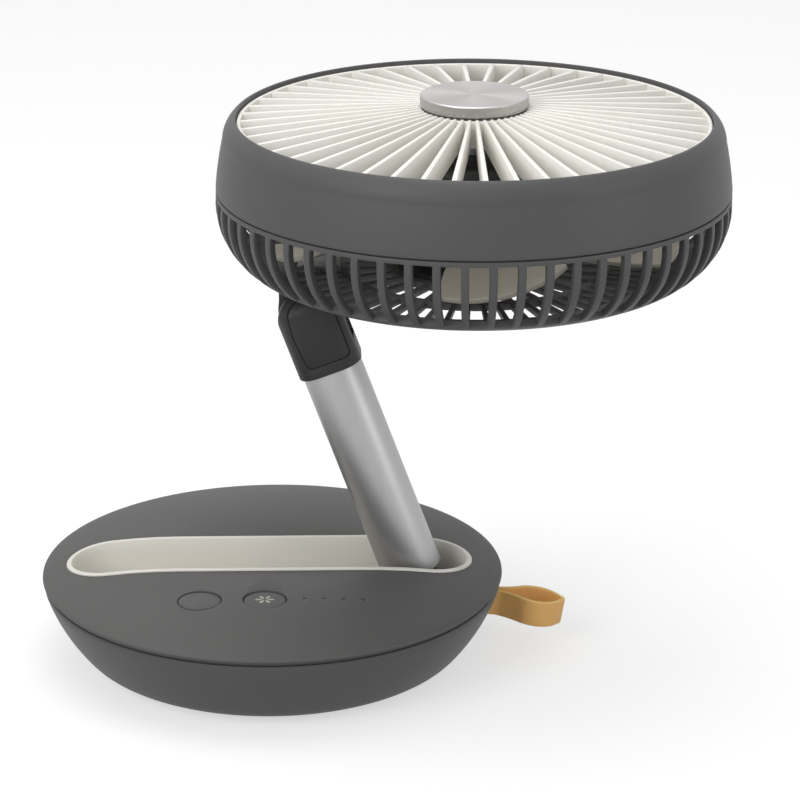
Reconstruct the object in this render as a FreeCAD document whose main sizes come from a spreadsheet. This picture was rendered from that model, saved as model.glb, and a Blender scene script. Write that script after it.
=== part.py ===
import FreeCAD, Part
import math
import os
import re

import Sketcher

os.makedirs("parts", exist_ok=True)

# Portable camping fan: a round base with a recess, a folding arm, and a round fan head.
# Millimetres. Origin at the centre of the underside, on the surface that the fan stands on.
# +X runs along the recess towards the arm's foot, +Y to the rear, +Z up.

SIZES = [
    # base
    ("foot_radius", 71.0, "flat of the base's underside"),
    ("foot_gap", 1.2, "shell's underside above the surface"),
    ("foot_curve", 17.6, "radius of the lower corner's curve"),
    ("knee_radius", 84.5, "where the lower corner meets the bowl's side"),
    ("knee_height", 7.5, "height of that meeting"),
    ("knee_slope", 50.0, "slope of the wall there, degrees"),
    ("bowl_curve", 78.7, "radius of the bowl side's curve"),
    ("bowl_radius", 98.8, "bowl at its upper rim"),
    ("bowl_height", 33.0, "height of the bowl's rim"),
    ("shell_wall", 2.4, "moulded wall"),
    ("seam_gap", 0.3, "shadow gap at a seam"),
    ("cover_radius", 100.0, "widest radius of the top cover"),
    ("cover_edge", 37.5, "height of the cover's edge"),
    ("cover_taper", 0.6, "how far the cover's side wall draws in at its foot"),
    ("dome_flat", 45.0, "flat middle of the top, radius"),
    ("dome_height", 43.75, "height of the top"),
    ("dome_curve", 245.1, "radius of the top's fall to its edge"),
    ("pad_radius", 58.0, "anti-slip pad"),
    ("pad_thickness", 2.0, "anti-slip pad"),
    ("screw_circle", 64.0, "base screws, distance from the centre"),
    ("screw_shank", 1.5, "base screws, radius"),
    ("screw_head", 2.9, "base screws, head radius"),
    ("boss_radius", 4.6, "screw boss"),
    ("spacer_radius", 4.2, "spacers between the floor and the cover"),
    ("spacer_start", 6.65, "spacers' lower ends"),
    ("spacer_end", 39.95, "spacers' upper ends"),
    # recess for the folded arm
    ("recess_shift", -1.35, "recess centre along X"),
    ("recess_half_width", 16.3, "inside of the liner"),
    ("recess_half_length", 85.2, "inside of the liner"),
    ("liner_wall", 1.6, "liner wall and floor"),
    ("liner_floor", 12.7, "height of the recess floor"),
    ("liner_lip", 3.0, "width of the liner's lip over the cover"),
    ("lip_rise", 0.8, "lip above the cover"),
    # arm
    ("pivot_x", 64.0, "base pivot"),
    ("pivot_height", 27.7, "base pivot"),
    ("arm_length", 133.6, "from pivot to pivot"),
    ("lean", 20.35, "arm's lean from upright at rest, degrees"),
    ("tube_radius", 13.15, "arm tube"),
    ("tube_wall", 1.5, "arm tube"),
    ("tube_start", 9.4, "tube's lower end above the base pivot"),
    ("sleeve_length", 24.1, "knuckle sleeve below the upper pivot"),
    ("tube_tuck", 5.5, "tube inside the knuckle sleeve"),
    ("knuckle_radius", 14.0, "knuckle sleeve and nose"),
    ("cheek_gap", 13.4, "slot between the knuckle's cheeks"),
    ("tongue_width", 6.0, "head's tongue, between the friction discs"),
    ("disc_radius", 13.4, "upper hinge's friction discs"),
    ("tongue_radius", 13.6, "head's tongue round the upper pivot"),
    ("foot_eye", 9.0, "arm foot's eye radius"),
    ("foot_width", 27.6, "arm foot's width along the pivot"),
    ("pin_radius", 3.0, "hinge pins"),
    ("running", 0.05, "radial running clearance of pins and shafts"),
    # head
    ("head_reach", 68.44, "head's axis from the upper pivot, along X"),
    ("head_rise", 20.0, "head's rear face above the upper pivot"),
    ("rear_radius", 81.5, "rear shell at its flat back"),
    ("rim_radius", 107.9, "head at its seam"),
    ("rear_curve", 31.3, "radius of the rear shell's side"),
    ("rear_depth", 34.0, "rear shell's curved side"),
    ("rear_wall", 3.0, "rear shell's wall"),
    ("rear_band", 2.1, "plain band above the slots"),
    ("bezel_start", 36.5, "bezel's lower edge above the rear face"),
    ("shoulder_radius", 104.9, "bezel where its top edge begins to round"),
    ("shoulder_height", 57.7, "same place, height"),
    ("lip_radius", 100.3, "bezel's top lip, outside"),
    ("lip_inner", 99.2, "bezel's top lip, inside"),
    ("head_depth", 66.7, "rear face to lip"),
    ("rib_count", 60, "ribs of the rear shell"),
    ("rib_turn", -1.5, "turn of the first slot between ribs, degrees"),
    ("rib_width", 3.2, "rib"),
    ("spoke_count", 30, "spokes of the flat back's middle"),
    ("hub_plate", 34.0, "rear shell's centre plate"),
    ("fin_count", 48, "fins of the front grille"),
    ("fin_width", 1.7, "fin"),
    ("fin_depth", 11.0, "fin"),
    ("grille_radius", 98.8, "front grille outside"),
    ("grille_height", 65.0, "fins' upper edge at the rim"),
    ("grille_crown", 71.0, "fins' upper edge at the hub"),
    ("hub_radius", 22.7, "front hub cap"),
    ("hub_height", 76.0, "front hub cap's top"),
    ("hub_side", 4.8, "front hub cap's side"),
    ("motor_radius", 22.0, "motor housing"),
    ("motor_start", 6.2, "motor housing, rear"),
    ("motor_end", 30.0, "motor housing, front"),
    ("shaft_radius", 2.5, "motor shaft"),
    ("fan_radius", 88.0, "fan blades' tips"),
    ("fan_hub", 26.0, "fan's hub"),
    ("fan_skirt", 13.2, "hub's lower edge, round the motor"),
    ("fan_turn", -12, "first blade's turn at rest, degrees"),
    ("blade_count", 5, "fan blades"),
    ("blade_thickness", 2.0, "fan blade"),
    # controls
    ("button_y", -49.8, "row of buttons and lights"),
    ("power_x", -30.2, "left button"),
    ("speed_x", -2.8, "right button"),
    ("button_radius", 9.0, "button"),
    ("button_gap", 0.35, "round gap at a button"),
    ("button_top", 43.2, "button's face at its edge"),
    ("light_x", 14.2, "first charge light"),
    ("light_step", 8.16, "from light to light"),
    ("light_radius", 0.9, "charge light"),
    ("board_height", 32.4, "control board's underside"),
    ("board_thickness", 1.6, "circuit boards"),
    ("cell_radius", 9.2, "battery cell"),
    ("cell_length", 65.0, "battery cell"),
    # strap
    ("strap_x", 90.4, "strap's pin"),
    ("strap_height", 22.0, "strap's pin, middle height"),
    ("strap_width", 11.5, "leather band"),
    ("strap_thickness", 1.8, "leather band"),
    ("strap_droop", 9.5, "fall of the loop, degrees"),
]

doc = FreeCAD.newDocument("camping_fan")
sheet = doc.addObject("Spreadsheet::Sheet", "size")
for row, (alias, number, note) in enumerate(SIZES, start=1):
    sheet.set(f"A{row}", alias)
    sheet.set(f"B{row}", str(number))
    sheet.set(f"C{row}", note)
    sheet.setAlias(f"B{row}", alias)
doc.recompute()

nodes = []
X_AXIS = FreeCAD.Vector(1, 0, 0)
Y_AXIS = FreeCAD.Vector(0, 1, 0)
Z_AXIS = FreeCAD.Vector(0, 0, 1)


def bound(text):
    """Turns plain words into references to the sheet's cells."""
    return re.sub(r"\b[a-z][a-z_]+\b(?!\()", lambda word: "size." + word.group(), str(text))


def value(text):
    """The number that a rule in the sheet's words gives now."""
    return float(sheet.evalExpression(bound(text)))


def bind(thing, **rules):
    """Binds properties to rules; in a property's name, a double underscore stands for a dot."""
    for name, rule in rules.items():
        thing.setExpression(name.replace("__", "."), bound(rule))


# Frames: the place and turn of each group of pieces
KNUCKLE_X = "pivot_x - arm_length * sin(lean)"
KNUCKLE_Z = "pivot_height + arm_length * cos(lean)"
FRAMES = {
    "arm": ("pivot_x", "pivot_height", "-lean"),
    "knuckle": (KNUCKLE_X, KNUCKLE_Z, "-lean"),
    "tilt": (KNUCKLE_X, KNUCKLE_Z, "0"),
    "head": (f"{KNUCKLE_X} + head_reach", f"{KNUCKLE_Z} + head_rise", "0"),
    "strap": ("strap_x", "strap_height", "strap_droop"),
}


def node(thing, label, frame=None):
    """Names a finished sub-part, sets it in its frame and lists it."""
    if thing.TypeId == "Part::Cylinder" and frame:
        thing = group(label + "_set", [thing])
    thing.Label = label
    if frame:
        x, z, turn = FRAMES[frame]
        place = FreeCAD.Vector(value(x), 0, value(z))
        thing.Placement = FreeCAD.Placement(place, FreeCAD.Rotation(Y_AXIS, value(turn)))
        bind(thing, Placement__Base__x=x, Placement__Base__z=z)
        if turn != "0":
            bind(thing, Placement__Rotation__Angle=turn)
    nodes.append(thing)
    return thing


# Sketched bodies
def new_body(name):
    return doc.addObject("PartDesign::Body", name)


def origin_part(body, role):
    return next(part for part in body.Origin.OriginFeatures if part.Role == role)


def new_sketch(body, name, role, offset="0"):
    sketch = body.newObject("Sketcher::SketchObject", name)
    sketch.AttachmentSupport = (origin_part(body, role), [""])
    sketch.MapMode = "FlatFace"
    sketch.AttachmentOffset = FreeCAD.Placement(FreeCAD.Vector(0, 0, value(offset)), FreeCAD.Rotation())
    if offset != "0":
        bind(sketch, AttachmentOffset__Base__z=offset)
    return sketch


def arc_centre(start, end, radius, side):
    """Centre of an arc from start to end; side is 1 if it bulges to the left of the way, -1 to the right."""
    chord = end - start
    half = chord.Length / 2
    normal = FreeCAD.Vector(-chord.y, chord.x, 0).normalize()
    return (start + end) * 0.5 - normal * side * math.sqrt(radius**2 - half**2)


def draw(sketch, corners):
    """Draws a closed outline. A corner is (x, y), or (x, y, radius, side) where an arc leads on from it."""
    points = [FreeCAD.Vector(value(c[0]), value(c[1]), 0) for c in corners]
    ends = []
    for i, corner in enumerate(corners):
        start, end = points[i], points[(i + 1) % len(points)]
        if len(corner) == 2:
            edge = sketch.addGeometry(Part.LineSegment(start, end))
            ends.append((edge, 1, 2))
            continue
        radius, side = value(corner[2]), corner[3]
        centre = arc_centre(start, end, radius, side)
        first, last = (end, start) if side > 0 else (start, end)
        angles = [math.atan2(p.y - centre.y, p.x - centre.x) for p in (first, last)]
        circle = Part.Circle(centre, Z_AXIS, radius)
        edge = sketch.addGeometry(Part.ArcOfCircle(circle, *angles))
        ends.append((edge, 2, 1) if side > 0 else (edge, 1, 2))
        rule = sketch.addConstraint(Sketcher.Constraint("Radius", edge, radius))
        sketch.setExpression(f"Constraints[{rule}]", bound(corner[2]))
    for i, (edge, _, last) in enumerate(ends):
        following, first, _ = ends[(i + 1) % len(ends)]
        sketch.addConstraint(Sketcher.Constraint("Coincident", edge, last, following, first))
    for (edge, first, _), corner, point in zip(ends, corners, points):
        for kind, rule, number in (("DistanceX", corner[0], point.x), ("DistanceY", corner[1], point.y)):
            index = sketch.addConstraint(Sketcher.Constraint(kind, -1, 1, edge, first, number))
            if re.search("[a-z]", str(rule)):
                sketch.setExpression(f"Constraints[{index}]", bound(rule))


def draw_circles(sketch, circles):
    """Draws circles, each (x, y, radius)."""
    for x, y, radius in circles:
        centre = FreeCAD.Vector(value(x), value(y), 0)
        edge = sketch.addGeometry(Part.Circle(centre, Z_AXIS, value(radius)))
        for kind, rule in (("DistanceX", x), ("DistanceY", y)):
            index = sketch.addConstraint(Sketcher.Constraint(kind, -1, 1, edge, 3, value(rule)))
            if re.search("[a-z]", str(rule)):
                sketch.setExpression(f"Constraints[{index}]", bound(rule))
        index = sketch.addConstraint(Sketcher.Constraint("Radius", edge, value(radius)))
        if re.search("[a-z]", str(radius)):
            sketch.setExpression(f"Constraints[{index}]", bound(radius))


def rectangle(half_x, half_y, x="0", y="0"):
    return [
        (f"{x} - ({half_x})", f"{y} - ({half_y})"),
        (f"{x} + ({half_x})", f"{y} - ({half_y})"),
        (f"{x} + ({half_x})", f"{y} + ({half_y})"),
        (f"{x} - ({half_x})", f"{y} + ({half_y})"),
    ]


def stadium(half_length, half_width, x="0"):
    """A slot's outline along X: two straight sides and two half-round ends, each as two arcs."""
    straight = f"({half_length}) - ({half_width})"
    return [
        (f"{x} - ({straight})", f"-({half_width})"),
        (f"{x} + ({straight})", f"-({half_width})", half_width, -1),
        (f"{x} + ({half_length})", "0", half_width, -1),
        (f"{x} + ({straight})", half_width),
        (f"{x} - ({straight})", half_width, half_width, -1),
        (f"{x} - ({half_length})", "0", half_width, -1),
    ]


def turn(body, corners, name="turned"):
    """Adds a full revolution about the body's Z axis; corners are (radius, height)."""
    sketch = new_sketch(body, name + "_section", "XZ_Plane")
    draw(sketch, corners)
    feature = body.newObject("PartDesign::Revolution", name)
    feature.Profile = sketch
    feature.ReferenceAxis = (sketch, ["V_Axis"])
    feature.Angle = 360
    return feature


def pad(body, fill, height, offset="0", role="XY_Plane", name="pad", midplane=False):
    """Adds a prism; fill draws its sketch."""
    sketch = new_sketch(body, name + "_sketch", role, offset)
    fill(sketch)
    feature = body.newObject("PartDesign::Pad", name)
    feature.Profile = sketch
    feature.Midplane = midplane
    bind(feature, Length=height)
    return feature


def cut(body, fill, depth, offset="0", role="XY_Plane", name="pocket", midplane=False):
    """Cuts a prism that starts at the offset and runs along the plane's normal; it has to take material away."""
    doc.recompute()
    before = body.Shape.Volume
    sketch = new_sketch(body, name + "_sketch", role, offset)
    fill(sketch)
    feature = body.newObject("PartDesign::Pocket", name)
    feature.Profile = sketch
    feature.Midplane = midplane
    feature.Reversed = not midplane
    bind(feature, Length=depth)
    doc.recompute()
    if before - body.Shape.Volume < 0.01:
        raise RuntimeError(f"{body.Name}: {name} cuts nothing")
    return feature


def around(body, feature, count, name="around"):
    """Repeats a feature evenly about the body's Z axis."""
    pattern = body.newObject("PartDesign::PolarPattern", name)
    pattern.Originals = [feature]
    pattern.Axis = (origin_part(body, "Z_Axis"), [""])
    pattern.Angle = 360
    bind(pattern, Occurrences=count)
    body.Tip = pattern
    return pattern


# Plain solids
def spot(thing, at):
    x, y, z = at
    thing.Placement.Base = FreeCAD.Vector(value(x), value(y), value(z))
    bind(thing, Placement__Base__x=x, Placement__Base__y=y, Placement__Base__z=z)
    return thing


def rod(name, radius, height, at=("0", "0", "0"), along="z"):
    """A cylinder from at; along x or y it lies down and is centred on at."""
    thing = doc.addObject("Part::Cylinder", name)
    bind(thing, Radius=radius, Height=height)
    x, y, z = at
    if along == "y":
        thing.Placement.Rotation = FreeCAD.Rotation(X_AXIS, -90)
        return spot(thing, (x, f"{y} - ({height}) / 2", z))
    if along == "x":
        thing.Placement.Rotation = FreeCAD.Rotation(Y_AXIS, 90)
        return spot(thing, (f"{x} - ({height}) / 2", y, z))
    return spot(thing, at)


def block(name, length, width, height, at=("0", "0", "0")):
    """A box centred on at in X and Y, standing on it."""
    thing = doc.addObject("Part::Box", name)
    bind(thing, Length=length, Width=width, Height=height)
    x, y, z = at
    return spot(thing, (f"{x} - ({length}) / 2", f"{y} - ({width}) / 2", z))


def join(name, parts):
    thing = doc.addObject("Part::MultiFuse", name)
    thing.Shapes = parts
    return thing


def group(name, parts):
    """Separate solids kept together as one sub-part."""
    thing = doc.addObject("Part::Compound", name)
    thing.Links = parts
    return thing


def less(name, base, tool):
    thing = doc.addObject("Part::Cut", name)
    thing.Base = base
    thing.Tool = tool
    return thing


def shared(name, parts):
    thing = doc.addObject("Part::MultiCommon", name)
    thing.Shapes = parts
    return thing


def ring(name, outer, inner, height, at=("0", "0", "0"), along="z"):
    """A washer or bush; its bore runs past both faces."""
    x, y, z = at
    body = rod(name + "_body", outer, height, at, along)
    start = (x, y, f"{z} - 1") if along == "z" else at
    bore = rod(name + "_bore", inner, f"({height}) + 2", start, along)
    return less(name, body, bore)


SCREW_PLACES = [
    (f"screw_circle * cos({angle})", f"screw_circle * sin({angle})") for angle in (45, 135, 225, 315)
]


# Base
def base_lower_shell():
    body = new_body("base_lower_shell")
    inner_knee = ("knee_radius - shell_wall * sin(knee_slope)", "knee_height + shell_wall * cos(knee_slope)")
    turn(body, [
        ("0", "foot_gap"),
        ("foot_radius", "foot_gap", "foot_curve", -1),
        ("knee_radius", "knee_height", "bowl_curve", -1),
        ("bowl_radius", "bowl_height"),
        ("bowl_radius - shell_wall", "bowl_height"),
        ("bowl_radius - shell_wall", "bowl_height + 1.8"),
        ("bowl_radius - 4.2", "bowl_height + 1.8"),
        ("bowl_radius - 4.2", "bowl_height - 3", "bowl_curve - shell_wall", 1),
        (*inner_knee, "foot_curve - shell_wall", 1),
        ("foot_radius", "foot_gap + shell_wall"),
        ("0", "foot_gap + shell_wall"),
    ], "bowl")

    def circles(radius):
        return lambda sketch: draw_circles(sketch, [(x, y, radius) for x, y in SCREW_PLACES])

    def mouth(sketch):
        draw(sketch, [(x, f"({y}) + 20", *arc) for x, y, *arc in stadium("4.9", "1.95")])

    pad(body, circles("boss_radius"), "spacer_start - foot_gap - 1.05", "foot_gap + 1", name="bosses")
    cut(body, circles("screw_shank + 0.2"), "12", name="screw_bores")
    cut(body, circles("screw_head + 0.3"), "4", name="screw_seats")
    cut(body, lambda sketch: draw_circles(sketch, [("0", "0", "pad_radius + 0.2")]), "pad_thickness", name="recess")
    cut(body, lambda sketch: draw(sketch, rectangle("10", "3.9", "94.5")), "13.5", "15.2", name="strap_slot")
    cut(body, mouth, "14", "-98", "XZ_Plane", name="socket_mouth")
    node(body, "base_lower_shell")


def base_top_cover():
    body = new_body("base_top_cover")
    turn(body, [
        ("cover_radius - cover_taper - shell_wall - 0.2", "bowl_height + seam_gap"),
        ("cover_radius - cover_taper", "bowl_height + seam_gap"),
        ("cover_radius", "cover_edge - 0.5", "0.6", -1),
        ("cover_radius - 0.5", "cover_edge + 0.05", "dome_curve", -1),
        ("dome_flat", "dome_height"),
        ("0", "dome_height"),
        ("0", "dome_height - shell_wall"),
        ("dome_flat", "dome_height - shell_wall", "dome_curve - shell_wall", 1),
        ("cover_radius - cover_taper - shell_wall - 0.2", "cover_edge - 2"),
    ], "dome")

    def circles(radius):
        return lambda sketch: draw_circles(sketch, [(x, y, radius) for x, y in SCREW_PLACES])

    def button_holes(sketch):
        draw_circles(sketch, [(x, "button_y", "button_radius + button_gap") for x in ("power_x", "speed_x")])

    def light_holes(sketch):
        draw_circles(sketch, [(x, "button_y", "light_radius + 0.1") for x in light_places()])

    def board_posts(radius):
        return lambda sketch: draw_circles(sketch, [(x, y, radius) for x, y in BOARD_POSTS])

    ceiling = "dome_height - shell_wall + 0.3"
    pad(body, circles("spacer_radius + 1.1"), f"{ceiling} - spacer_end + 2", "spacer_end - 2", name="sockets")
    cut(body, circles("spacer_radius + 0.1"), "3", "spacer_end - 2.95", name="socket_bores")
    top = f"{ceiling} - board_height - board_thickness"
    pad(body, board_posts("2.6"), top, "board_height + board_thickness", name="board_posts")
    cut(body, board_posts("0.95"), "5", "board_height + board_thickness - 0.5", name="board_bores")
    hole = stadium("recess_half_length + liner_wall + 0.3", "recess_half_width + liner_wall + 0.3", "recess_shift")
    cut(body, lambda sketch: draw(sketch, hole), "20", "30", name="recess_hole")
    cut(body, button_holes, "12", "36", name="button_holes")
    cut(body, light_holes, "12", "36", name="light_holes")
    node(body, "base_top_cover")


def light_places():
    return [f"light_x + {i} * light_step" for i in range(4)]


BOARD_POSTS = [(x, y) for x in ("-16.5", "36") for y in ("-37", "-62")]


def stadium_prism(name, half_length, half_width, bottom, height):
    """An upright prism over the recess's outline."""
    middle = block(name + "_middle", f"2 * (({half_length}) - ({half_width}))", f"2 * ({half_width})", height,
                   ("recess_shift", "0", bottom))
    ends = []
    for side, sign in (("left", "-"), ("right", "+")):
        x = f"recess_shift {sign} (({half_length}) - ({half_width}))"
        ends.append(rod(f"{name}_{side}", half_width, height, (x, "0", bottom)))
    return join(name, [middle, *ends])


def bowl_inside(name, gap):
    """The space inside the lower shell, kept a gap away from its wall."""
    offset = f"(shell_wall + {gap})"
    body = new_body(name)
    turn(body, [
        ("0", f"foot_gap + {offset}"),
        ("foot_radius", f"foot_gap + {offset}", f"foot_curve - {offset}", -1),
        (f"knee_radius - {offset} * sin(knee_slope)", f"knee_height + {offset} * cos(knee_slope)",
         f"bowl_curve - {offset}", -1),
        (f"bowl_radius - {offset} * 0.96", "bowl_height"),
        ("0", "bowl_height"),
    ], "space")
    return body


def channel_liner():
    """A tub with a thin lip that follows the cover's dome."""
    inside = ("recess_half_length", "recess_half_width")
    wall = [f"{size} + liner_wall" for size in inside]
    lip = [f"{size} + liner_lip" for size in inside]
    low = "liner_floor - liner_wall"
    tub = stadium_prism("tub", *wall, low, "dome_height - 3 - liner_floor")
    brim = stadium_prism("brim", *lip, "30", "20")
    dome = new_body("lip_dome")
    turn(dome, [
        ("0", "dome_height + 0.03"),
        ("dome_flat", "dome_height + 0.03", "dome_curve", 1),
        ("cover_radius", "cover_edge + 0.03"),
        ("cover_radius", "cover_edge + lip_rise", "dome_curve", -1),
        ("dome_flat", "dome_height + lip_rise"),
        ("0", "dome_height + lip_rise"),
    ], "dome")
    collar = new_body("collar_dome")
    turn(collar, [
        ("0", "20"),
        ("cover_radius", "20"),
        ("cover_radius", "cover_edge + lip_rise", "dome_curve", -1),
        ("dome_flat", "dome_height + lip_rise"),
        ("0", "dome_height + lip_rise"),
    ], "under_dome")
    tall_tub = stadium_prism("tall_tub", *wall, "20", "30")
    low_tub = shared("low_tub", [tub, bowl_inside("tub_limit", "0.4")])
    solid = join("liner_solid", [low_tub, shared("lip", [brim, dome]), shared("collar", [tall_tub, collar])])
    low_room = stadium_prism("low_room", *inside, "liner_floor", "20")
    high_room = stadium_prism("high_room", *inside, "liner_floor + 18", "30")
    room = join("room", [shared("room_in_bowl", [low_room, bowl_inside("room_limit", "0.4 + liner_wall")]), high_room])
    pin_bore = rod("liner_pin_bore", "pin_radius + 0.3", "50", ("pivot_x", "0", "pivot_height"), "y")
    node(less("liner", solid, join("liner_room", [room, pin_bore])), "channel_liner")


def foot_pad():
    body = new_body("foot_pad")
    grip = []
    for groove in range(4, 0, -1):
        outer = f"pad_radius - 2 - {4 - groove} * 9"
        grip += [(outer, "0"), (outer, "0.5"), (f"{outer} - 2", "0.5"), (f"{outer} - 2", "0")]
    turn(body, [
        ("0", "0"),
        ("0", "pad_thickness - 0.05"),
        ("pad_radius", "pad_thickness - 0.05"),
        ("pad_radius", "0.4"),
        ("pad_radius - 0.4", "0"),
        *grip,
    ], "disc")
    node(body, "foot_pad")


def ballast():
    """A steel plate under the recess, to which the cradle is screwed, and a block in the front half."""
    body = new_body("ballast_plate")
    pad(body, lambda sketch: draw(sketch, rectangle("63", "17", "3")), "3.7", "foot_gap + shell_wall + 0.1")
    cut(body, lambda sketch: draw_circles(sketch, [(x, "0", "1.3") for x in CRADLE_SCREWS]), "3", "5.5",
        name="screw_bores")
    node(body, "ballast_plate")
    weight = block("weight", "74", "38", "11", ("0", "-43", "foot_gap + shell_wall + 0.1"))
    node(weight, "front_ballast")


CRADLE_SCREWS = ("58.5", "69.5")


def hinge_cradle():
    """A folded steel strap under the recess whose two cheeks carry the arm's pin."""
    body = new_body("hinge_cradle")
    pad(body, lambda sketch: draw(sketch, rectangle("10", "21", "pivot_x")), "2.4", "7.6", name="strap")
    cheeks = [rectangle("10", "1.25", "pivot_x", y) for y in ("19.6", "-19.6")]
    for index, cheek in enumerate(cheeks):
        pad(body, lambda sketch, outline=cheek: draw(sketch, outline), "29", "7.7", name=f"cheek_{index}")
    cut(body, lambda sketch: draw_circles(sketch, [("pivot_x", "pivot_height", "pin_radius + 0.02")]), "60", "-30",
        "XZ_Plane", name="pin_bore")
    cut(body, lambda sketch: draw_circles(sketch, [(x, "0", "1.6") for x in CRADLE_SCREWS]), "4", "7",
        name="screw_bores")
    node(body, "hinge_cradle")


def screws(name, places, head_radius, head_height, shank_radius, shank_length, head_z, up=True):
    """Separate screws: heads at head_z with their shanks running up or down from them."""
    made = []
    for index, (x, y) in enumerate(places):
        head = rod(f"{name}_head_{index}", head_radius, head_height, (x, y, head_z))
        start = f"{head_z} + {head_height}" if up else f"{head_z} - {shank_length}"
        shank = rod(f"{name}_shank_{index}", shank_radius, shank_length, (x, y, start))
        drive_z = f"{head_z} - 1" if up else f"{head_z} + {head_height} - 0.9"
        drive = rod(f"{name}_drive_{index}", f"({head_radius}) * 0.45", "1.9", (x, y, drive_z))
        made.append(less(f"{name}_{index}", join(f"{name}_blank_{index}", [head, shank]), drive))
    return group(name, made)


def base_fasteners():
    spacers = [
        ring(f"spacer_{i}", "spacer_radius", "screw_shank + 0.05", "spacer_end - spacer_start", (x, y, "spacer_start"))
        for i, (x, y) in enumerate(SCREW_PLACES)
    ]
    node(group("spacer_set", spacers), "base_spacers")
    node(screws("base_screw_set", SCREW_PLACES, "screw_head", "1.8", "screw_shank", "17", "2.1"), "base_screws")
    places = [(x, "0") for x in CRADLE_SCREWS]
    node(screws("cradle_screw_set", places, "2.4", "1", "1.25", "4", "10.02", up=False), "cradle_screws")
    node(screws("board_screw_set", BOARD_POSTS, "1.9", "1.2", "0.9", "5.4", "board_height - 1.25"), "board_screws")


def base_hinge():
    pivot = ("pivot_x", "0", "pivot_height")
    node(rod("pin", "pin_radius", "44.4", pivot, "y"), "base_hinge_pin")
    clips = [ring(f"clip_{side}", "5", "pin_radius + 0.02", "0.9", ("pivot_x", y, "pivot_height"), "y")
             for side, y in (("rear", "21.5"), ("front", "-21.5"))]
    node(group("clip_pair", clips), "hinge_pin_clips")
    washers = [ring(f"foot_washer_{side}", "6.5", "pin_radius + 0.04", "1.8", ("pivot_x", y, "pivot_height"), "y")
               for side, y in (("rear", "15"), ("front", "-15"))]
    node(group("foot_washers", washers), "base_friction_washers")


def battery():
    rows = ("34", "54")
    cells = []
    for index, y in enumerate(rows):
        can = rod(f"can_{index}", "cell_radius", "cell_length - 1", ("0.5", y, "15.2"), "x")
        button = rod(f"button_{index}", "2.8", "2", ("0.5 - cell_length / 2", y, "15.2"), "x")
        cells.append(join(f"cell_{index}", [can, button]))
    node(group("cells", cells), "battery_cells")
    tray = block("tray", "cell_length + 4", "38", "9", ("0", "43", "foot_gap + shell_wall + 0.1"))
    beds = [rod(f"bed_{index}", "cell_radius + 0.15", "cell_length + 1.6", ("0", y, "15.2"), "x")
            for index, y in enumerate(rows)]
    node(less("battery_tray", tray, join("beds", beds)), "battery_holder")


def controls():
    board = new_body("control_board")
    pad(board, lambda sketch: draw(sketch, rectangle("40", "16.5", "0", "-48.5")), "board_thickness", "board_height")
    cut(board, lambda sketch: draw_circles(sketch, [(x, y, "1.1") for x, y in BOARD_POSTS]), "4",
        "board_height - 1", name="screw_bores")
    node(board, "control_board")
    deck = "board_height + board_thickness"
    switches = []
    for name, x in (("power", "power_x"), ("speed", "speed_x")):
        case = block(f"{name}_case", "6", "6", "3.4", (x, "button_y", f"{deck} + 0.02"))
        stem = rod(f"{name}_stem", "1.7", "0.8", (x, "button_y", f"{deck} + 3.1"))
        switches.append(join(f"{name}_switch", [case, stem]))
    node(group("switches", switches), "button_switches")
    chips = [block(f"chip_{i}", "1.6", "1.6", "0.8", (x, "button_y", f"{deck} + 0.02"))
             for i, x in enumerate(light_places())]
    node(group("chips", chips), "led_chips")
    pipes = []
    for i, x in enumerate(light_places()):
        stem = rod(f"pipe_{i}", "light_radius", "8", (x, "button_y", f"{deck} + 1.1"))
        flange = rod(f"pipe_foot_{i}", "light_radius + 0.8", "1.4", (x, "button_y", f"{deck} + 1.1"))
        pipes.append(join(f"light_{i}", [stem, flange]))
    ceiling = new_body("lights_ceiling")
    turn(ceiling, [
        ("0", "20"),
        ("cover_radius", "20"),
        ("cover_radius", "cover_edge - 0.05", "dome_curve", -1),
        ("dome_flat", "dome_height - 0.05"),
        ("0", "dome_height - 0.05"),
    ], "ceiling")
    node(shared("lights", [group("light_row", pipes), ceiling]), "led_lenses")


def button(label, x):
    """A cap with a crowned face, a stem down to its switch and a retaining flange under the cover."""
    body = new_body(label)
    turn(body, [
        ("0", "38.5"),
        ("1.8", "38.5"),
        ("1.8", "38.9"),
        ("button_radius + 1", "38.9"),
        ("button_radius + 1", "39.6"),
        ("button_radius", "39.6"),
        ("button_radius", "button_top - 0.5"),
        ("button_radius - 0.5", "button_top", "120", -1),
        ("2", "button_top + 0.3"),
        ("0", "button_top + 0.3"),
    ], "cap")
    node(body, label)
    bind(body, Placement__Base__x=x, Placement__Base__y="button_y")


def charging():
    board = block("charge_card", "20", "18", "1.2", ("0", "78.5", "16.6"))
    node(board, "charge_board")
    shell = new_body("usb_c_socket")
    pad(shell, lambda sketch: draw(sketch, [(x, f"({y}) + 20", *arc) for x, y, *arc in stadium("4.5", "1.6")]),
        "9", "-90", "XZ_Plane", name="shell")
    cut(shell, lambda sketch: draw(sketch, [(x, f"({y}) + 20", *arc) for x, y, *arc in stadium("4.15", "1.25")]),
        "7.4", "-90.1", "XZ_Plane", name="mouth")
    pad(shell, lambda sketch: draw(sketch, rectangle("3.3", "0.35", "0", "20")), "7", "-88.5", "XZ_Plane",
        name="tongue")
    pad(shell, lambda sketch: draw(sketch, rectangle("3.5", "3.5", "0", "84.5")), "0.62", "17.82", name="feet")
    node(shell, "usb_c_socket")


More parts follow.
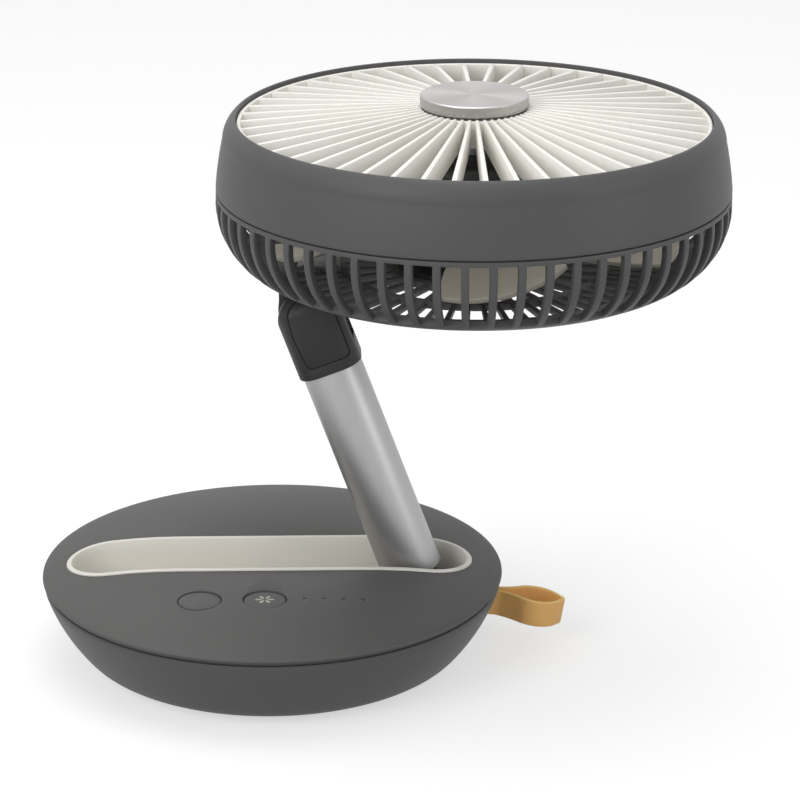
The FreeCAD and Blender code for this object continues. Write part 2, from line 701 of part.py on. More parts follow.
def strap_outline(grow):
    """The loop seen from above: close strands out of the wall, a full belly and a tighter far end."""
    half = f"(1.7 {grow})"
    return [
        (f"0 - {half}", "0", half, 1),
        ("0", half),
        ("8", f"1.0 {grow}", "34", -1),
        ("19", f"6.2 {grow}", "15", 1),
        ("32", f"6.6 {grow}", "8.5", 1),
        (f"35.4 {grow}", "0", "8.5", 1),
        ("32", f"0 - (6.6 {grow})", "15", 1),
        ("19", f"0 - (6.2 {grow})", "34", -1),
        ("8", f"0 - (1.0 {grow})"),
        ("0", f"0 - {half}", half, 1),
    ]


def carry_strap():
    body = new_body("carry_strap")
    pad(body, lambda sketch: draw(sketch, strap_outline("+ strap_thickness")), "strap_width", midplane=True)
    cut(body, lambda sketch: draw(sketch, strap_outline("+ 0")), "strap_width + 2", name="loop", midplane=True)
    node(body, "carry_strap", "strap")
    node(rod("strap_post", "1.2", "strap_width + 1", ("0", "0", "0 - strap_width / 2 - 0.5")), "strap_pin", "strap")


# Arm
def arm_tube():
    length = "arm_length - sleeve_length + tube_tuck - tube_start"
    outer = rod("tube_outside", "tube_radius", length, ("0", "0", "tube_start"))
    inner = rod("tube_inside", "tube_radius - tube_wall", f"{length} + 2", ("0", "0", "tube_start - 1"))
    bores = [rod(f"tube_pin_bore_{i}", "1.55", "40", ("0", "0", z), "y") for i, z in enumerate(TUBE_PINS)]
    node(less("tube", outer, join("tube_space", [inner, *bores])), "arm_tube", "arm")


TUBE_PINS = ("tube_start + 5", "arm_length - sleeve_length - 5")


def arm_foot():
    """The eye that turns on the base pin, with the plug that fills the tube's lower end."""
    eye = rod("eye", "foot_eye", "foot_width", along="y")
    neck = rod("neck", "8", "tube_start + 1")
    plug = rod("foot_plug", "tube_radius - tube_wall - 0.05", "14", ("0", "0", "tube_start"))
    waist = shared("eye_in_tube", [eye, rod("eye_room", "tube_radius + 0.6", "40", ("0", "0", "-20"))])
    solid = join("foot_solid", [waist, neck, plug])
    holes = [
        rod("eye_bore", "pin_radius + running", "60", along="y"),
        rod("foot_wire_bore", "2.2", "30", ("0", "0", "5")),
        rod("foot_pin_bore", "1.55", "40", ("0", "0", TUBE_PINS[0]), "y"),
    ]
    node(less("foot", solid, join("foot_holes", holes)), "arm_foot", "arm")


def tube_pins():
    """Short set pins through the tube's wall into the plugs at its two ends, two at each end."""
    pins = [rod(f"tube_pin_{i}_{side}", "1.5", "4.4", ("0", f"{sign}(tube_radius - 2.5)", z), "y")
            for i, z in enumerate(TUBE_PINS) for side, sign in (("rear", ""), ("front", "-"))]
    node(group("pins", pins), "tube_pins", "arm")


def arm_lead():
    node(rod("lead", "1.8", "arm_length - 28", ("0", "0", "10")), "arm_lead", "arm")


def knuckle_fork():
    """A sleeve over the tube that ends in two cheeks round the upper pivot; its nose is round both ways."""
    sleeve = rod("sleeve", "knuckle_radius", "sleeve_length", ("0", "0", "-sleeve_length"))
    post = rod("nose_post", "knuckle_radius", "knuckle_radius + 1", ("0", "0", "-0.5"))
    plug = rod("knuckle_plug", "tube_radius - tube_wall - 0.05", "14", ("0", "0", "0 - sleeve_length - 9"))
    solid = join("knuckle_solid", [sleeve, shared("round_nose", [post, *nose_limits("nose", "0")]), plug])
    tuck = "0 - sleeve_length - 10"
    holes = [
        block("tongue_room", "40", "cheek_gap", "40", ("0", "0", "0 - knuckle_radius - 0.1")),
        ring("tube_socket", "tube_radius + 0.03", "tube_radius - tube_wall - 0.05", "tube_tuck + 1.1",
             ("0", "0", "0 - sleeve_length - 1")),
        rod("axle_bore", "pin_radius + running", "60", along="y"),
        rod("axle_seat_rear", "6.2", "6", ("0", "13.6", "0"), "y"),
        rod("axle_seat_front", "6.2", "6", ("0", "-13.6", "0"), "y"),
        rod("knuckle_wire_bore", "2.2", "30", ("0", "0", tuck)),
        rod("knuckle_pin_bore", "1.55", "2 * tube_radius", ("0", "0", "0 - sleeve_length - 5"), "y"),
    ]
    cavities = join("knuckle_holes", [*holes, *cover_blanks("cover_seat", "0.15", "12.0")])
    node(less("knuckle", solid, cavities), "knuckle_fork", "knuckle")


def nose_limits(name, inset):
    """Cylinders that round the nose as seen from the front and, so that it fits the recess's end, from above."""
    front = rod(f"{name}_front", f"knuckle_radius - {inset}", "2 * knuckle_radius + 2", along="y")
    above = rod(f"{name}_above", f"knuckle_radius + 0.9 - {inset}", "2 * knuckle_radius + 2", along="x")
    return [front, above]


def cover_blanks(name, grow, start):
    """Front and rear panels: a round head at the pivot on a tapering body, cut from the sleeve's skin."""
    made = []
    for side, sign in (("front", "-"), ("rear", "")):
        y = f"{sign}({start} + 2)"
        head = rod(f"{name}_{side}_head", f"9.6 + {grow}", "4", ("0", y, "0"), "y")
        body = block(f"{name}_{side}_body", f"2 * (9.6 + {grow})", "4", f"17.4 + {grow}",
                     ("0", y, f"0 - 17.4 - {grow}"))
        made.append(join(f"{name}_{side}", [head, body]))
    return made


def knuckle_covers():
    """The panels' outer faces follow the sleeve's skin and the nose, a touch below them."""
    skin = rod("cover_skin", "knuckle_radius - 0.25", "60", ("0", "0", "-30"))
    below = rod("cover_below", "knuckle_radius + 0.65", "60", ("0", "0", "0"), "x")
    long_below = join("cover_reach", [below, block("cover_length", "60", "60", "30", ("0", "0", "-30"))])
    panels = [shared(f"cover_{i}", [blank, skin, long_below])
              for i, blank in enumerate(cover_blanks("cover", "0", "12.1"))]
    node(group("covers", panels), "knuckle_covers", "knuckle")


def tilt_core():
    """The upper hinge's axle with its clips and thick friction discs."""
    node(rod("axle", "pin_radius", "23.6", along="y"), "tilt_axle", "tilt")
    clips = [ring(f"axle_clip_{side}", "5.6", "pin_radius + 0.02", "0.9", ("0", y, "0"), "y")
             for side, y in (("rear", "11.15"), ("front", "-11.15"))]
    node(group("axle_clips", clips), "tilt_axle_clips", "tilt")
    middle = "(tongue_width + cheek_gap) / 4"
    thickness = "(cheek_gap - tongue_width) / 2 - 0.2"
    discs = [
        ring(f"tilt_disc_{side}", "disc_radius", "pin_radius + 0.02", thickness, ("0", y, "0"), "y")
        for side, y in (("rear", middle), ("front", f"0 - {middle}"))
    ]
    node(group("tilt_disc_pair", discs), "tilt_friction_discs", "tilt")


# Head
def head_bracket():
    """A tongue round the upper pivot that rises to a saddle under the rear shell, with a plate inside it."""
    eye = rod("tongue_eye", "tongue_radius", "tongue_width", along="y")
    tongue = block("tongue", "2 * tongue_radius", "tongue_width", "head_rise - 3")
    saddle = block("saddle", "2 * tongue_radius", "26", "4.95", ("0", "0", "head_rise - 5"))
    solid = join("bracket_solid", [eye, tongue, saddle])
    bores = [rod("tongue_bore", "pin_radius + running", "40", along="y")]
    bores += [rod(f"saddle_bore_{i}", "1.3", "6", (x, y, "head_rise - 4.5")) for i, (x, y) in enumerate(SADDLE_SCREWS)]
    node(less("bracket", solid, join("bracket_bores", bores)), "head_bracket", "tilt")


SADDLE_SCREWS = [(x, y) for x in ("-8", "8") for y in ("-9.5", "9.5")]


def rear_shell():
    body = new_body("rear_shell")
    inner = "rear_curve - rear_wall"
    turn(body, [
        ("0", "0"),
        ("rear_radius", "0", "rear_curve", -1),
        ("rim_radius", "rear_depth"),
        ("rim_radius", "rear_depth + rear_band"),
        ("rim_radius - 2.9", "rear_depth + rear_band"),
        ("rim_radius - 2.9", "rear_depth + 4.5"),
        ("rim_radius - 4.5", "rear_depth + 4.5"),
        ("rim_radius - 4.5", "rear_depth + 0.5"),
        ("rim_radius - rear_wall", "rear_depth - 0.3", inner, 1),
        ("rear_radius - 0.46", "rear_wall - 0.03"),
        ("hub_plate", "2.6"),
        ("0", "2.6"),
    ], "shell")

    def gap(inner_radius, outer_radius, count, web, turn="rib_turn"):
        """Corners of one slot, as wide as the pitch less a rib, at each end."""
        half_in = f"(3.1416 * ({inner_radius}) / {count} - {web} / 2)"
        half_out = f"(3.1416 * ({outer_radius}) / {count} - {web} / 2)"
        corners = [(inner_radius, f"(0 - {half_in})"), (outer_radius, f"(0 - {half_out})"),
                   (outer_radius, half_out), (inner_radius, half_in)]
        return [(f"({x}) * cos({turn}) - {y} * sin({turn})", f"({x}) * sin({turn}) + {y} * cos({turn})")
                for x, y in corners]

    side = gap("rear_radius + 2.5", "rim_radius + 6", "rib_count", "rib_width")
    slot = cut(body, lambda sketch: draw(sketch, side), "rear_depth - 4.6", "3.8", name="side_slot")
    around(body, slot, "rib_count", "side_slots")
    outer = gap("58", "rear_radius - 4.5", "rib_count", "2.4")
    slot = cut(body, lambda sketch: draw(sketch, outer), "6", "-1", name="back_slot")
    around(body, slot, "rib_count", "back_slots")
    middle = gap("hub_plate + 2", "54", "spoke_count", "2.6", "rib_turn + 180 / rib_count")
    slot = cut(body, lambda sketch: draw(sketch, middle), "6", "-1", name="middle_slot")
    around(body, slot, "spoke_count", "middle_slots")
    doc.recompute()
    pad(body, lambda sketch: draw(sketch, rectangle("12", "13", "0 - head_reach")), "rear_wall - 0.05", name="seat")
    seat_bores = [(f"{x} - head_reach", y, "1.6") for x, y in SADDLE_SCREWS]
    cut(body, lambda sketch: draw_circles(sketch, seat_bores), "6", "-1", name="seat_bores")
    node(body, "rear_shell", "head")


def saddle_plate():
    """A plate inside the rear shell that the saddle's screws clamp."""
    plate = block("clamp", "22", "25", "2.5", ("1.5", "0", "head_rise + 3.05"))
    bores = [rod(f"clamp_bore_{i}", "1.6", "6", (x, y, "head_rise + 1")) for i, (x, y) in enumerate(SADDLE_SCREWS)]
    node(less("clamp_plate", plate, join("clamp_bores", bores)), "saddle_plate", "tilt")
    node(screws("saddle_screw_set", SADDLE_SCREWS, "2.4", "1.4", "1.25", "8.5", "head_rise + 5.6", up=False),
         "saddle_screws", "tilt")


def bezel_ring():
    body = new_body("bezel_ring")
    turn(body, [
        ("rim_radius - 2.6", "bezel_start"),
        ("rim_radius", "bezel_start", "150", -1),
        ("shoulder_radius", "shoulder_height", "12", -1),
        ("lip_radius", "head_depth"),
        ("lip_inner", "head_depth"),
        ("lip_inner", "53.7"),
        ("lip_inner - 2", "53.7"),
        ("lip_inner - 2", "51.7"),
        ("rim_radius - 5.2", "49"),
        ("rim_radius - 2.6", "40"),
    ], "bezel")
    node(body, "bezel_ring", "head")


def front_grille():
    """Deep radial fins between a rim and a hub ring, their upper edges rising towards the hub."""
    body = new_body("front_grille")
    turn(body, [
        ("grille_radius - 1.6", "53.9"),
        ("grille_radius", "53.9"),
        ("grille_radius", "grille_height"),
        ("grille_radius - 1.6", "grille_height"),
    ], "rim")
    doc.recompute()
    hub_low = "grille_crown - fin_depth - 1"
    turn(body, [
        ("0", "grille_crown - 4"),
        ("0", hub_low),
        ("hub_radius + 1.2", hub_low),
        ("hub_radius + 1.2", "grille_crown - 0.8"),
        ("hub_radius - 1", "grille_crown - 0.8"),
        ("hub_radius - 1", "grille_crown - 4"),
    ], "hub")
    sketch = new_sketch(body, "fin_sketch", "XZ_Plane")
    draw(sketch, [
        ("hub_radius", "grille_crown - fin_depth"),
        ("grille_radius - 1", "grille_height - fin_depth"),
        ("grille_radius - 1", "grille_height"),
        ("hub_radius", "grille_crown"),
    ])
    fin = body.newObject("PartDesign::Pad", "fin")
    fin.Profile = sketch
    fin.Midplane = True
    bind(fin, Length="fin_width")
    around(body, fin, "fin_count", "fins")
    node(body, "front_grille", "head")


def hub_cap():
    body = new_body("hub_cap")
    turn(body, [
        ("0", "hub_height - hub_side + 1"),
        ("hub_radius - 1.6", "hub_height - hub_side + 1"),
        ("hub_radius - 1.6", "hub_height - hub_side"),
        ("hub_radius", "hub_height - hub_side"),
        ("hub_radius", "hub_height - 0.5"),
        ("hub_radius - 0.5", "hub_height"),
        ("0", "hub_height"),
    ], "cap")
    pad(body, lambda sketch: draw_circles(sketch, [("0", "0", "8")]), "4.9", "hub_height - hub_side - 3.9", name="plug")
    node(body, "hub_cap", "head")


def motor():
    mount = new_body("motor_mount")
    turn(mount, [
        ("4.6", "2.65"),
        ("hub_plate - 2", "2.65"),
        ("hub_plate - 2", "5.2"),
        ("motor_radius + 2.2", "5.2"),
        ("motor_radius + 2.2", "12"),
        ("motor_radius + 0.1", "12"),
        ("motor_radius + 0.1", "motor_start - 0.05"),
        ("4.6", "motor_start - 0.05"),
    ], "mount")
    node(mount, "motor_mount", "head")
    housing = new_body("motor_housing")
    turn(housing, [
        ("4.1", "motor_start"),
        ("motor_radius", "motor_start"),
        ("motor_radius", "motor_end - 1.5"),
        ("motor_radius - 1.5", "motor_end"),
        ("4.1", "motor_end"),
        ("4.1", "motor_end - 2"),
        ("motor_radius - 1.6", "motor_end - 2"),
        ("motor_radius - 1.6", "motor_start + 2"),
        ("4.1", "motor_start + 2"),
    ], "can")
    node(housing, "motor_housing", "head")
    node(ring("stator", "motor_radius - 1.8", "9.5", "14", ("0", "0", "motor_start + 4")), "motor_stator", "head")
    bushes = [ring(f"bush_{i}", "4.05", "shaft_radius + running", "2.6", ("0", "0", z))
              for i, z in enumerate(("motor_start - 0.4", "motor_end - 2.2"))]
    node(group("bushes", bushes), "motor_bushes", "head")


def rotor():
    shaft = rod("spindle", "shaft_radius", "50", ("0", "0", "3.5"))
    node(shaft, "motor_shaft", "head")
    core = ring("core", "9.2", "shaft_radius + 0.01", "13", ("0", "0", "motor_start + 4.5"))
    node(core, "motor_rotor", "head")
    node(ring("retainer", "4.5", "shaft_radius + 0.01", "1.6", ("0", "0", "50.9")), "fan_clip", "head")


def fan_impeller():
    """A cupped hub with cambered blades whose pitch eases towards the tips."""
    hub = new_body("fan_cup")
    turn(hub, [
        ("shaft_radius + 0.01", "34"),
        ("6", "34"),
        ("6", "47"),
        ("fan_hub - 2", "45"),
        ("fan_hub - 2", "fan_skirt"),
        ("fan_hub", "fan_skirt"),
        ("fan_hub", "46", "6", -1),
        ("fan_hub - 5", "50.6"),
        ("shaft_radius + 0.01", "50.6"),
    ], "cup")
    doc.recompute()
    stations = [
        (value("fan_hub") - 1.5, 28, 36, 2, 24),
        (58, 45, 23, 4, 21.6),
        (value("fan_radius") + 4, 53, 12, 4, 19.2),
    ]
    wires = [blade_section(*station) for station in stations]
    blade = Part.makeLoft(wires, True)
    reach = Part.makeCylinder(value("fan_radius"), 60)
    count = int(value("blade_count"))
    shape = hub.Shape
    for i in range(count):
        turned = blade.common(reach)
        turned.rotate(FreeCAD.Vector(), Z_AXIS, value("fan_turn") + i * 360 / count)
        shape = shape.fuse(turned)
    impeller = doc.addObject("Part::Feature", "impeller")
    impeller.Shape = shape.removeSplitter()
    node(impeller, "fan_impeller", "head")


def blade_section(radius, chord, pitch, sag, height):
    """One section of a blade on the plane at this radius: two arcs, as thick as the blade, closed at its edges."""
    thick = value("blade_thickness")
    middle = FreeCAD.Vector(radius, 0, height)
    along = FreeCAD.Vector(0, math.cos(math.radians(pitch)), math.sin(math.radians(pitch)))
    up = FreeCAD.Vector(0, -along.z, along.y)
    tail, nose = middle - along * chord / 2, middle + along * chord / 2
    upper = Part.Arc(tail + up * thick / 2, middle - up * (sag - thick / 2), nose + up * thick / 2).toShape()
    lower = Part.Arc(nose - up * thick / 2, middle - up * (sag + thick / 2), tail - up * thick / 2).toShape()
    front = Part.makeLine(nose + up * thick / 2, nose - up * thick / 2)
    back = Part.makeLine(tail - up * thick / 2, tail + up * thick / 2)
    return Part.Wire([upper, front, lower, back])


for make in (
    base_lower_shell, base_top_cover, channel_liner, foot_pad, ballast, hinge_cradle, base_fasteners,
    base_hinge, battery, controls, charging, carry_strap, arm_tube, arm_foot, tube_pins, arm_lead, knuckle_fork,
    knuckle_covers, tilt_core, head_bracket, rear_shell, saddle_plate, bezel_ring, front_grille, hub_cap, motor,
    rotor, fan_impeller,
):
    make()
button("power_button", "power_x")
button("speed_button", "speed_x")

doc.recompute()
faults = [thing.Name for thing in doc.Objects if {"Invalid", "Error"} & set(thing.State)]
faults += [thing.Label for thing in nodes if thing.Shape.isNull() or not thing.Shape.isValid()]
if faults:
    raise RuntimeError(f"these failed: {faults}")
for thing in nodes:
    thing.Shape.exportStep(f"parts/{thing.Label}.step")
    print(f"{thing.Label}: {len(thing.Shape.Solids)} solid, {thing.Shape.Volume / 1000:.2f} cm3")
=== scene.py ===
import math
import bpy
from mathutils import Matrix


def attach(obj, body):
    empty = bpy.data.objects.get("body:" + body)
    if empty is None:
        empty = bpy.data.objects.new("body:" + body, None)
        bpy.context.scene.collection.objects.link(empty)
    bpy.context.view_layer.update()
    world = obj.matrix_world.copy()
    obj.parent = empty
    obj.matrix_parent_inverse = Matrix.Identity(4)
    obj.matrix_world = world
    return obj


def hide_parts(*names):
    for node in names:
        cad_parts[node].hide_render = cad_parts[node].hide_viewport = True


bl_info = {
    "name": "Portable camping fan",
    "version": (1, 0, 0),
    "blender": (4, 5, 0),
    "location": "View3D > Sidebar > Camping fan",
    "description": "Builds the visible pieces of a folding camping fan, its finishes and a small studio",
    "category": "Object",
}

import bmesh
import bpy
from mathutils import Matrix, Vector

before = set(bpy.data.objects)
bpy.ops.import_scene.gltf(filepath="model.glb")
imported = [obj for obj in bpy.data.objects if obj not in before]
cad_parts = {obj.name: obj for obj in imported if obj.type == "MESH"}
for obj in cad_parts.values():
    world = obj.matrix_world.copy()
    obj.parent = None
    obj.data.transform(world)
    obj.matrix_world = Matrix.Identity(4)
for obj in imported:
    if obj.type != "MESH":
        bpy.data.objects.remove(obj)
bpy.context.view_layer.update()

# Places shared with the frame, in millimetres
BUTTON_Y = -49.8
POWER_X = -30.2
SPEED_X = -2.8
LIGHTS_X = (14.2, 22.36, 30.52, 38.68)
RECESS_X = -1.35
RECESS_STRAIGHT = 68.9
RECESS_HALF_WIDTH = 18.2
COVER_TOP = 43.75
COVER_FLAT = 45
SCREW_CIRCLE = 64
STRAP_PIN = (90.4, 22.0)
STRAP_WIDTH = 11.5
STRAP_DROOP = math.radians(9.5)
PIVOT = (64.0, 27.7)
ARM_LENGTH = 133.6
LEAN = math.radians(20.35)
KNUCKLE = (PIVOT[0] - ARM_LENGTH * math.sin(LEAN), PIVOT[1] + ARM_LENGTH * math.cos(LEAN))
HEAD = (KNUCKLE[0] + 68.44, KNUCKLE[1] + 20.0)
BLADE_TURN = math.radians(-12)
CAGE_TURN = math.radians(7.5)
FULL = 2 * math.pi
DOUBLE = 2e-6  # vertices closer than this, in metres, are one

# The camera that was fitted to the photograph
EYE = (19.7, -1305.0, 581.1)
TARGET = (55.3, 0, 114.4)
LENS = 145.65
ROLL = math.radians(0.11)


def linear(code):
    """Turns an sRGB hex colour into linear red, green and blue."""
    parts = [int(code[i : i + 2], 16) / 255 for i in (1, 3, 5)]
    return tuple(c / 12.92 if c <= 0.04045 else ((c + 0.055) / 1.055) ** 2.4 for c in parts)


def mm(x, y=0.0, z=0.0):
    """A place in metres from millimetres."""
    return Vector((x, y, z)) / 1000


# Settings


def length(label, note, default):
    """A size property; its default is in millimetres."""
    return bpy.props.FloatProperty(name=label, description=note, default=default / 1000, unit="LENGTH", precision=5)


def colour(label, note, default):
    """A colour property; its default is an sRGB hex code."""
    return bpy.props.FloatVectorProperty(
        name=label, description=note, default=linear(default), subtype="COLOR", min=0, max=1
    )


class FanSizes(bpy.types.PropertyGroup):
    """Sizes that shape the pieces inside the frame's outlines."""

    edge: length("Edge rounding", "Radius of a moulded edge", 0.4)
    rim_steps: bpy.props.IntProperty(name="Rim steps", description="Facets round the large rims", default=192, min=48)
    fin_count: bpy.props.IntProperty(name="Fins", description="Radial fins of the front grille", default=48, min=8)
    fin_hub: length("Fin at the hub", "Thickness of a fin at its inner end", 1.4)
    fin_rim: length("Fin at the rim", "Thickness of a fin at its outer end", 2.2)
    spoke_count: bpy.props.IntProperty(
        name="Spokes", description="Spokes of the back; ribs are twice as many", default=30
    )
    blade_count: bpy.props.IntProperty(name="Blades", description="Blades of the fan", default=5, min=2)
    blade: length("Blade", "Thickness of a blade", 2.0)
    leather: length("Leather", "Thickness of the strap", 1.8)


class FanColours(bpy.types.PropertyGroup):
    """Base colours of the finishes."""

    shell: colour("Shells", "Charcoal ABS of the base and head", "#525252")
    cover: colour("Top cover", "Charcoal ABS of the base's top", "#575756")
    liner: colour("Recess", "Warm grey ABS of the recess", "#e4e1d9")
    ivory: colour("Fins", "Ivory ABS of the front grille", "#faf8f2")
    # Painted shade: the blades are the fins' ivory ABS, darkened here to stand in for the shade inside the head, behind
    # the ribs and fins.
    blades: colour("Blades", "Ivory ABS of the fan's blades", "#aaa599")
    knuckle: colour("Knuckle", "Near-black nylon of the upper hinge", "#2c2c2c")
    tube: colour("Tube", "Anodised aluminium of the arm", "#aaaaab")
    hub: colour("Hub cap", "Spun aluminium of the hub", "#bab8b6")
    leather: colour("Leather", "Tan leather of the strap", "#f4bc71")
    mark: colour("Mark", "Printed mark on the speed button", "#b5afa2")


# Materials


def add(tree, kind, settings=None, inputs=None):
    """Adds a node; each input takes a value, or the socket that feeds it."""
    made = tree.nodes.new(kind)
    for name, value in (settings or {}).items():
        setattr(made, name, value)
    for name, value in (inputs or {}).items():
        if isinstance(value, bpy.types.NodeSocket):
            tree.links.new(value, made.inputs[name])
        else:
            made.inputs[name].default_value = value
    return made


def finish(name, **constants):
    """A new material with its shader's constants set; returns it with its tree, shader and Object coordinates."""
    material = bpy.data.materials.new(name)
    material.use_nodes = True
    tree = material.node_tree
    shader = tree.nodes["Principled BSDF"]
    for socket, value in constants.items():
        shader.inputs[socket.replace("_", " ")].default_value = value
    place = add(tree, "ShaderNodeTexCoord").outputs["Object"]
    return material, tree, shader, place


def shade(base, factor):
    """A base colour made lighter or darker, with alpha."""
    return (*(min(1.0, c * factor) for c in base), 1.0)


def mottled(tree, shader, noise, dark, light):
    """Feeds the base colour from a noise between two colours."""
    mix = add(tree, "ShaderNodeMix", {"data_type": "RGBA"}, {0: noise, 6: dark, 7: light})
    tree.links.new(mix.outputs[2], shader.inputs["Base Color"])


def roughened(tree, shader, noise, low, high):
    """Feeds the roughness from a noise, between two levels."""
    ends = {"From Min": 0.3, "From Max": 0.7, "To Min": low, "To Max": high}
    spread = add(tree, "ShaderNodeMapRange", None, {"Value": noise, **ends})
    tree.links.new(spread.outputs[0], shader.inputs["Roughness"])


def bumped(tree, shader, height, depth, strength=1.0):
    """Bump of a depth in millimetres."""
    bump = add(tree, "ShaderNodeBump", None, {"Height": height, "Distance": depth / 1000, "Strength": strength})
    tree.links.new(bump.outputs[0], shader.inputs["Normal"])


def moulded_plastic(name, base, rough, grit=0.7, depth=0.02, mottle=0.05, **constants):
    """Injection-moulded plastic. The mould's eroded skin gives a fine grit that breaks up highlights, and the melt's
    flow leaves a very faint, slow variation of tone. The real grit is about 0.1 mm, and is drawn coarser to show."""
    material, tree, shader, place = finish(name, **constants)
    skin = add(tree, "ShaderNodeTexNoise", None, {"Vector": place, "Scale": 1000 / grit, "Detail": 3, "Roughness": 0.6})
    flow = add(tree, "ShaderNodeTexNoise", None, {"Vector": place, "Scale": 28, "Detail": 2})
    mottled(tree, shader, flow.outputs[0], shade(base, 1 - mottle), shade(base, 1 + mottle))
    roughened(tree, shader, skin.outputs[0], rough - 0.05, rough + 0.05)
    bumped(tree, shader, skin.outputs[0], depth)
    return material


def blasted_aluminium(base):
    """Extruded tube, bead-blasted and clear anodised: an even satin metal with a pearly grain of about 0.4 mm and
    faint draw lines along the tube."""
    material, tree, shader, place = finish("bead_blasted_anodised_aluminium", Metallic=1.0)
    stretch = {"Rotation": (0, -LEAN, 0), "Scale": (1, 1, 0.02)}
    along = add(tree, "ShaderNodeMapping", None, {"Vector": place, **stretch})
    lines = add(tree, "ShaderNodeTexNoise", None, {"Vector": along.outputs[0], "Scale": 700, "Detail": 2})
    grain = add(tree, "ShaderNodeTexNoise", None, {"Vector": place, "Scale": 2500, "Detail": 2})
    mottled(tree, shader, lines.outputs[0], shade(base, 0.96), shade(base, 1.04))
    roughened(tree, shader, grain.outputs[0], 0.4, 0.46)
    bumped(tree, shader, grain.outputs[0], 0.004)
    return material


def spun_aluminium(base):
    """Turned on a lathe and clear anodised: fine rings round the axis, which stretch each highlight into a fan of
    bright wedges. The rings are about 0.25 mm apart here, a little coarser than real ones."""
    material, tree, shader, place = finish("spun_anodised_aluminium", Metallic=1.0, Anisotropic=0.85)
    centred = add(tree, "ShaderNodeMapping", None, {"Vector": place, "Location": (-HEAD[0] / 1000, 0, 0)})
    flat = add(tree, "ShaderNodeVectorMath", {"operation": "MULTIPLY"}, {0: centred.outputs[0], 1: (1, 1, 0)})
    radius = add(tree, "ShaderNodeVectorMath", {"operation": "LENGTH"}, {0: flat.outputs[0]})
    pattern = {"W": radius.outputs["Value"], "Scale": 4000, "Detail": 2}
    rings = add(tree, "ShaderNodeTexNoise", {"noise_dimensions": "1D"}, pattern)
    tangent = add(tree, "ShaderNodeTangent", {"direction_type": "RADIAL", "axis": "Z"})
    tree.links.new(tangent.outputs[0], shader.inputs["Tangent"])
    mottled(tree, shader, rings.outputs[0], shade(base, 0.93), shade(base, 1.07))
    roughened(tree, shader, rings.outputs[0], 0.26, 0.34)
    return material


def zinc_steel():
    """Zinc-plated steel of pins, screws and plates: bright grey with a cloudy, slightly uneven plating."""
    material, tree, shader, place = finish("zinc_plated_steel", Metallic=1.0)
    cloud = add(tree, "ShaderNodeTexNoise", None, {"Vector": place, "Scale": 400, "Detail": 4})
    mottled(tree, shader, cloud.outputs[0], (*linear("#8f9093"), 1), (*linear("#b4b5b8"), 1))
    roughened(tree, shader, cloud.outputs[0], 0.25, 0.45)
    return material


def tan_leather(name, base, rough):
    """Vegetable-tanned leather with a smooth face: pores and creases of about 0.6 mm, and a cloudy dye."""
    material, tree, shader, place = finish(name)
    pores = add(tree, "ShaderNodeTexVoronoi", {"feature": "F1"}, {"Vector": place, "Scale": 1600, "Randomness": 1.0})
    crease = add(tree, "ShaderNodeTexNoise", None, {"Vector": place, "Scale": 900, "Detail": 4, "Roughness": 0.65})
    cloud = add(tree, "ShaderNodeTexNoise", None, {"Vector": place, "Scale": 90, "Detail": 4, "Roughness": 0.6})
    mottled(tree, shader, cloud.outputs[0], shade(base, 0.84), shade(base, 1.14))
    roughened(tree, shader, crease.outputs[0], rough - 0.08, rough + 0.08)
    grain = {0: pores.outputs[0], 1: 0.5, 2: crease.outputs[0]}
    both = add(tree, "ShaderNodeMath", {"operation": "MULTIPLY_ADD"}, grain)
    bumped(tree, shader, both.outputs[0], 0.06)
    return material


def plain(name, code, rough, metallic=0.0, scale=300, **constants):
    """A finish of an inner piece: one tone with a slight cloudiness."""
    material, tree, shader, place = finish(name, Metallic=metallic, **constants)
    cloud = add(tree, "ShaderNodeTexNoise", None, {"Vector": place, "Scale": scale, "Detail": 3})
    base = linear(code)
    mottled(tree, shader, cloud.outputs[0], shade(base, 0.85), shade(base, 1.15))
    roughened(tree, shader, cloud.outputs[0], rough - 0.06, rough + 0.06)
    return material


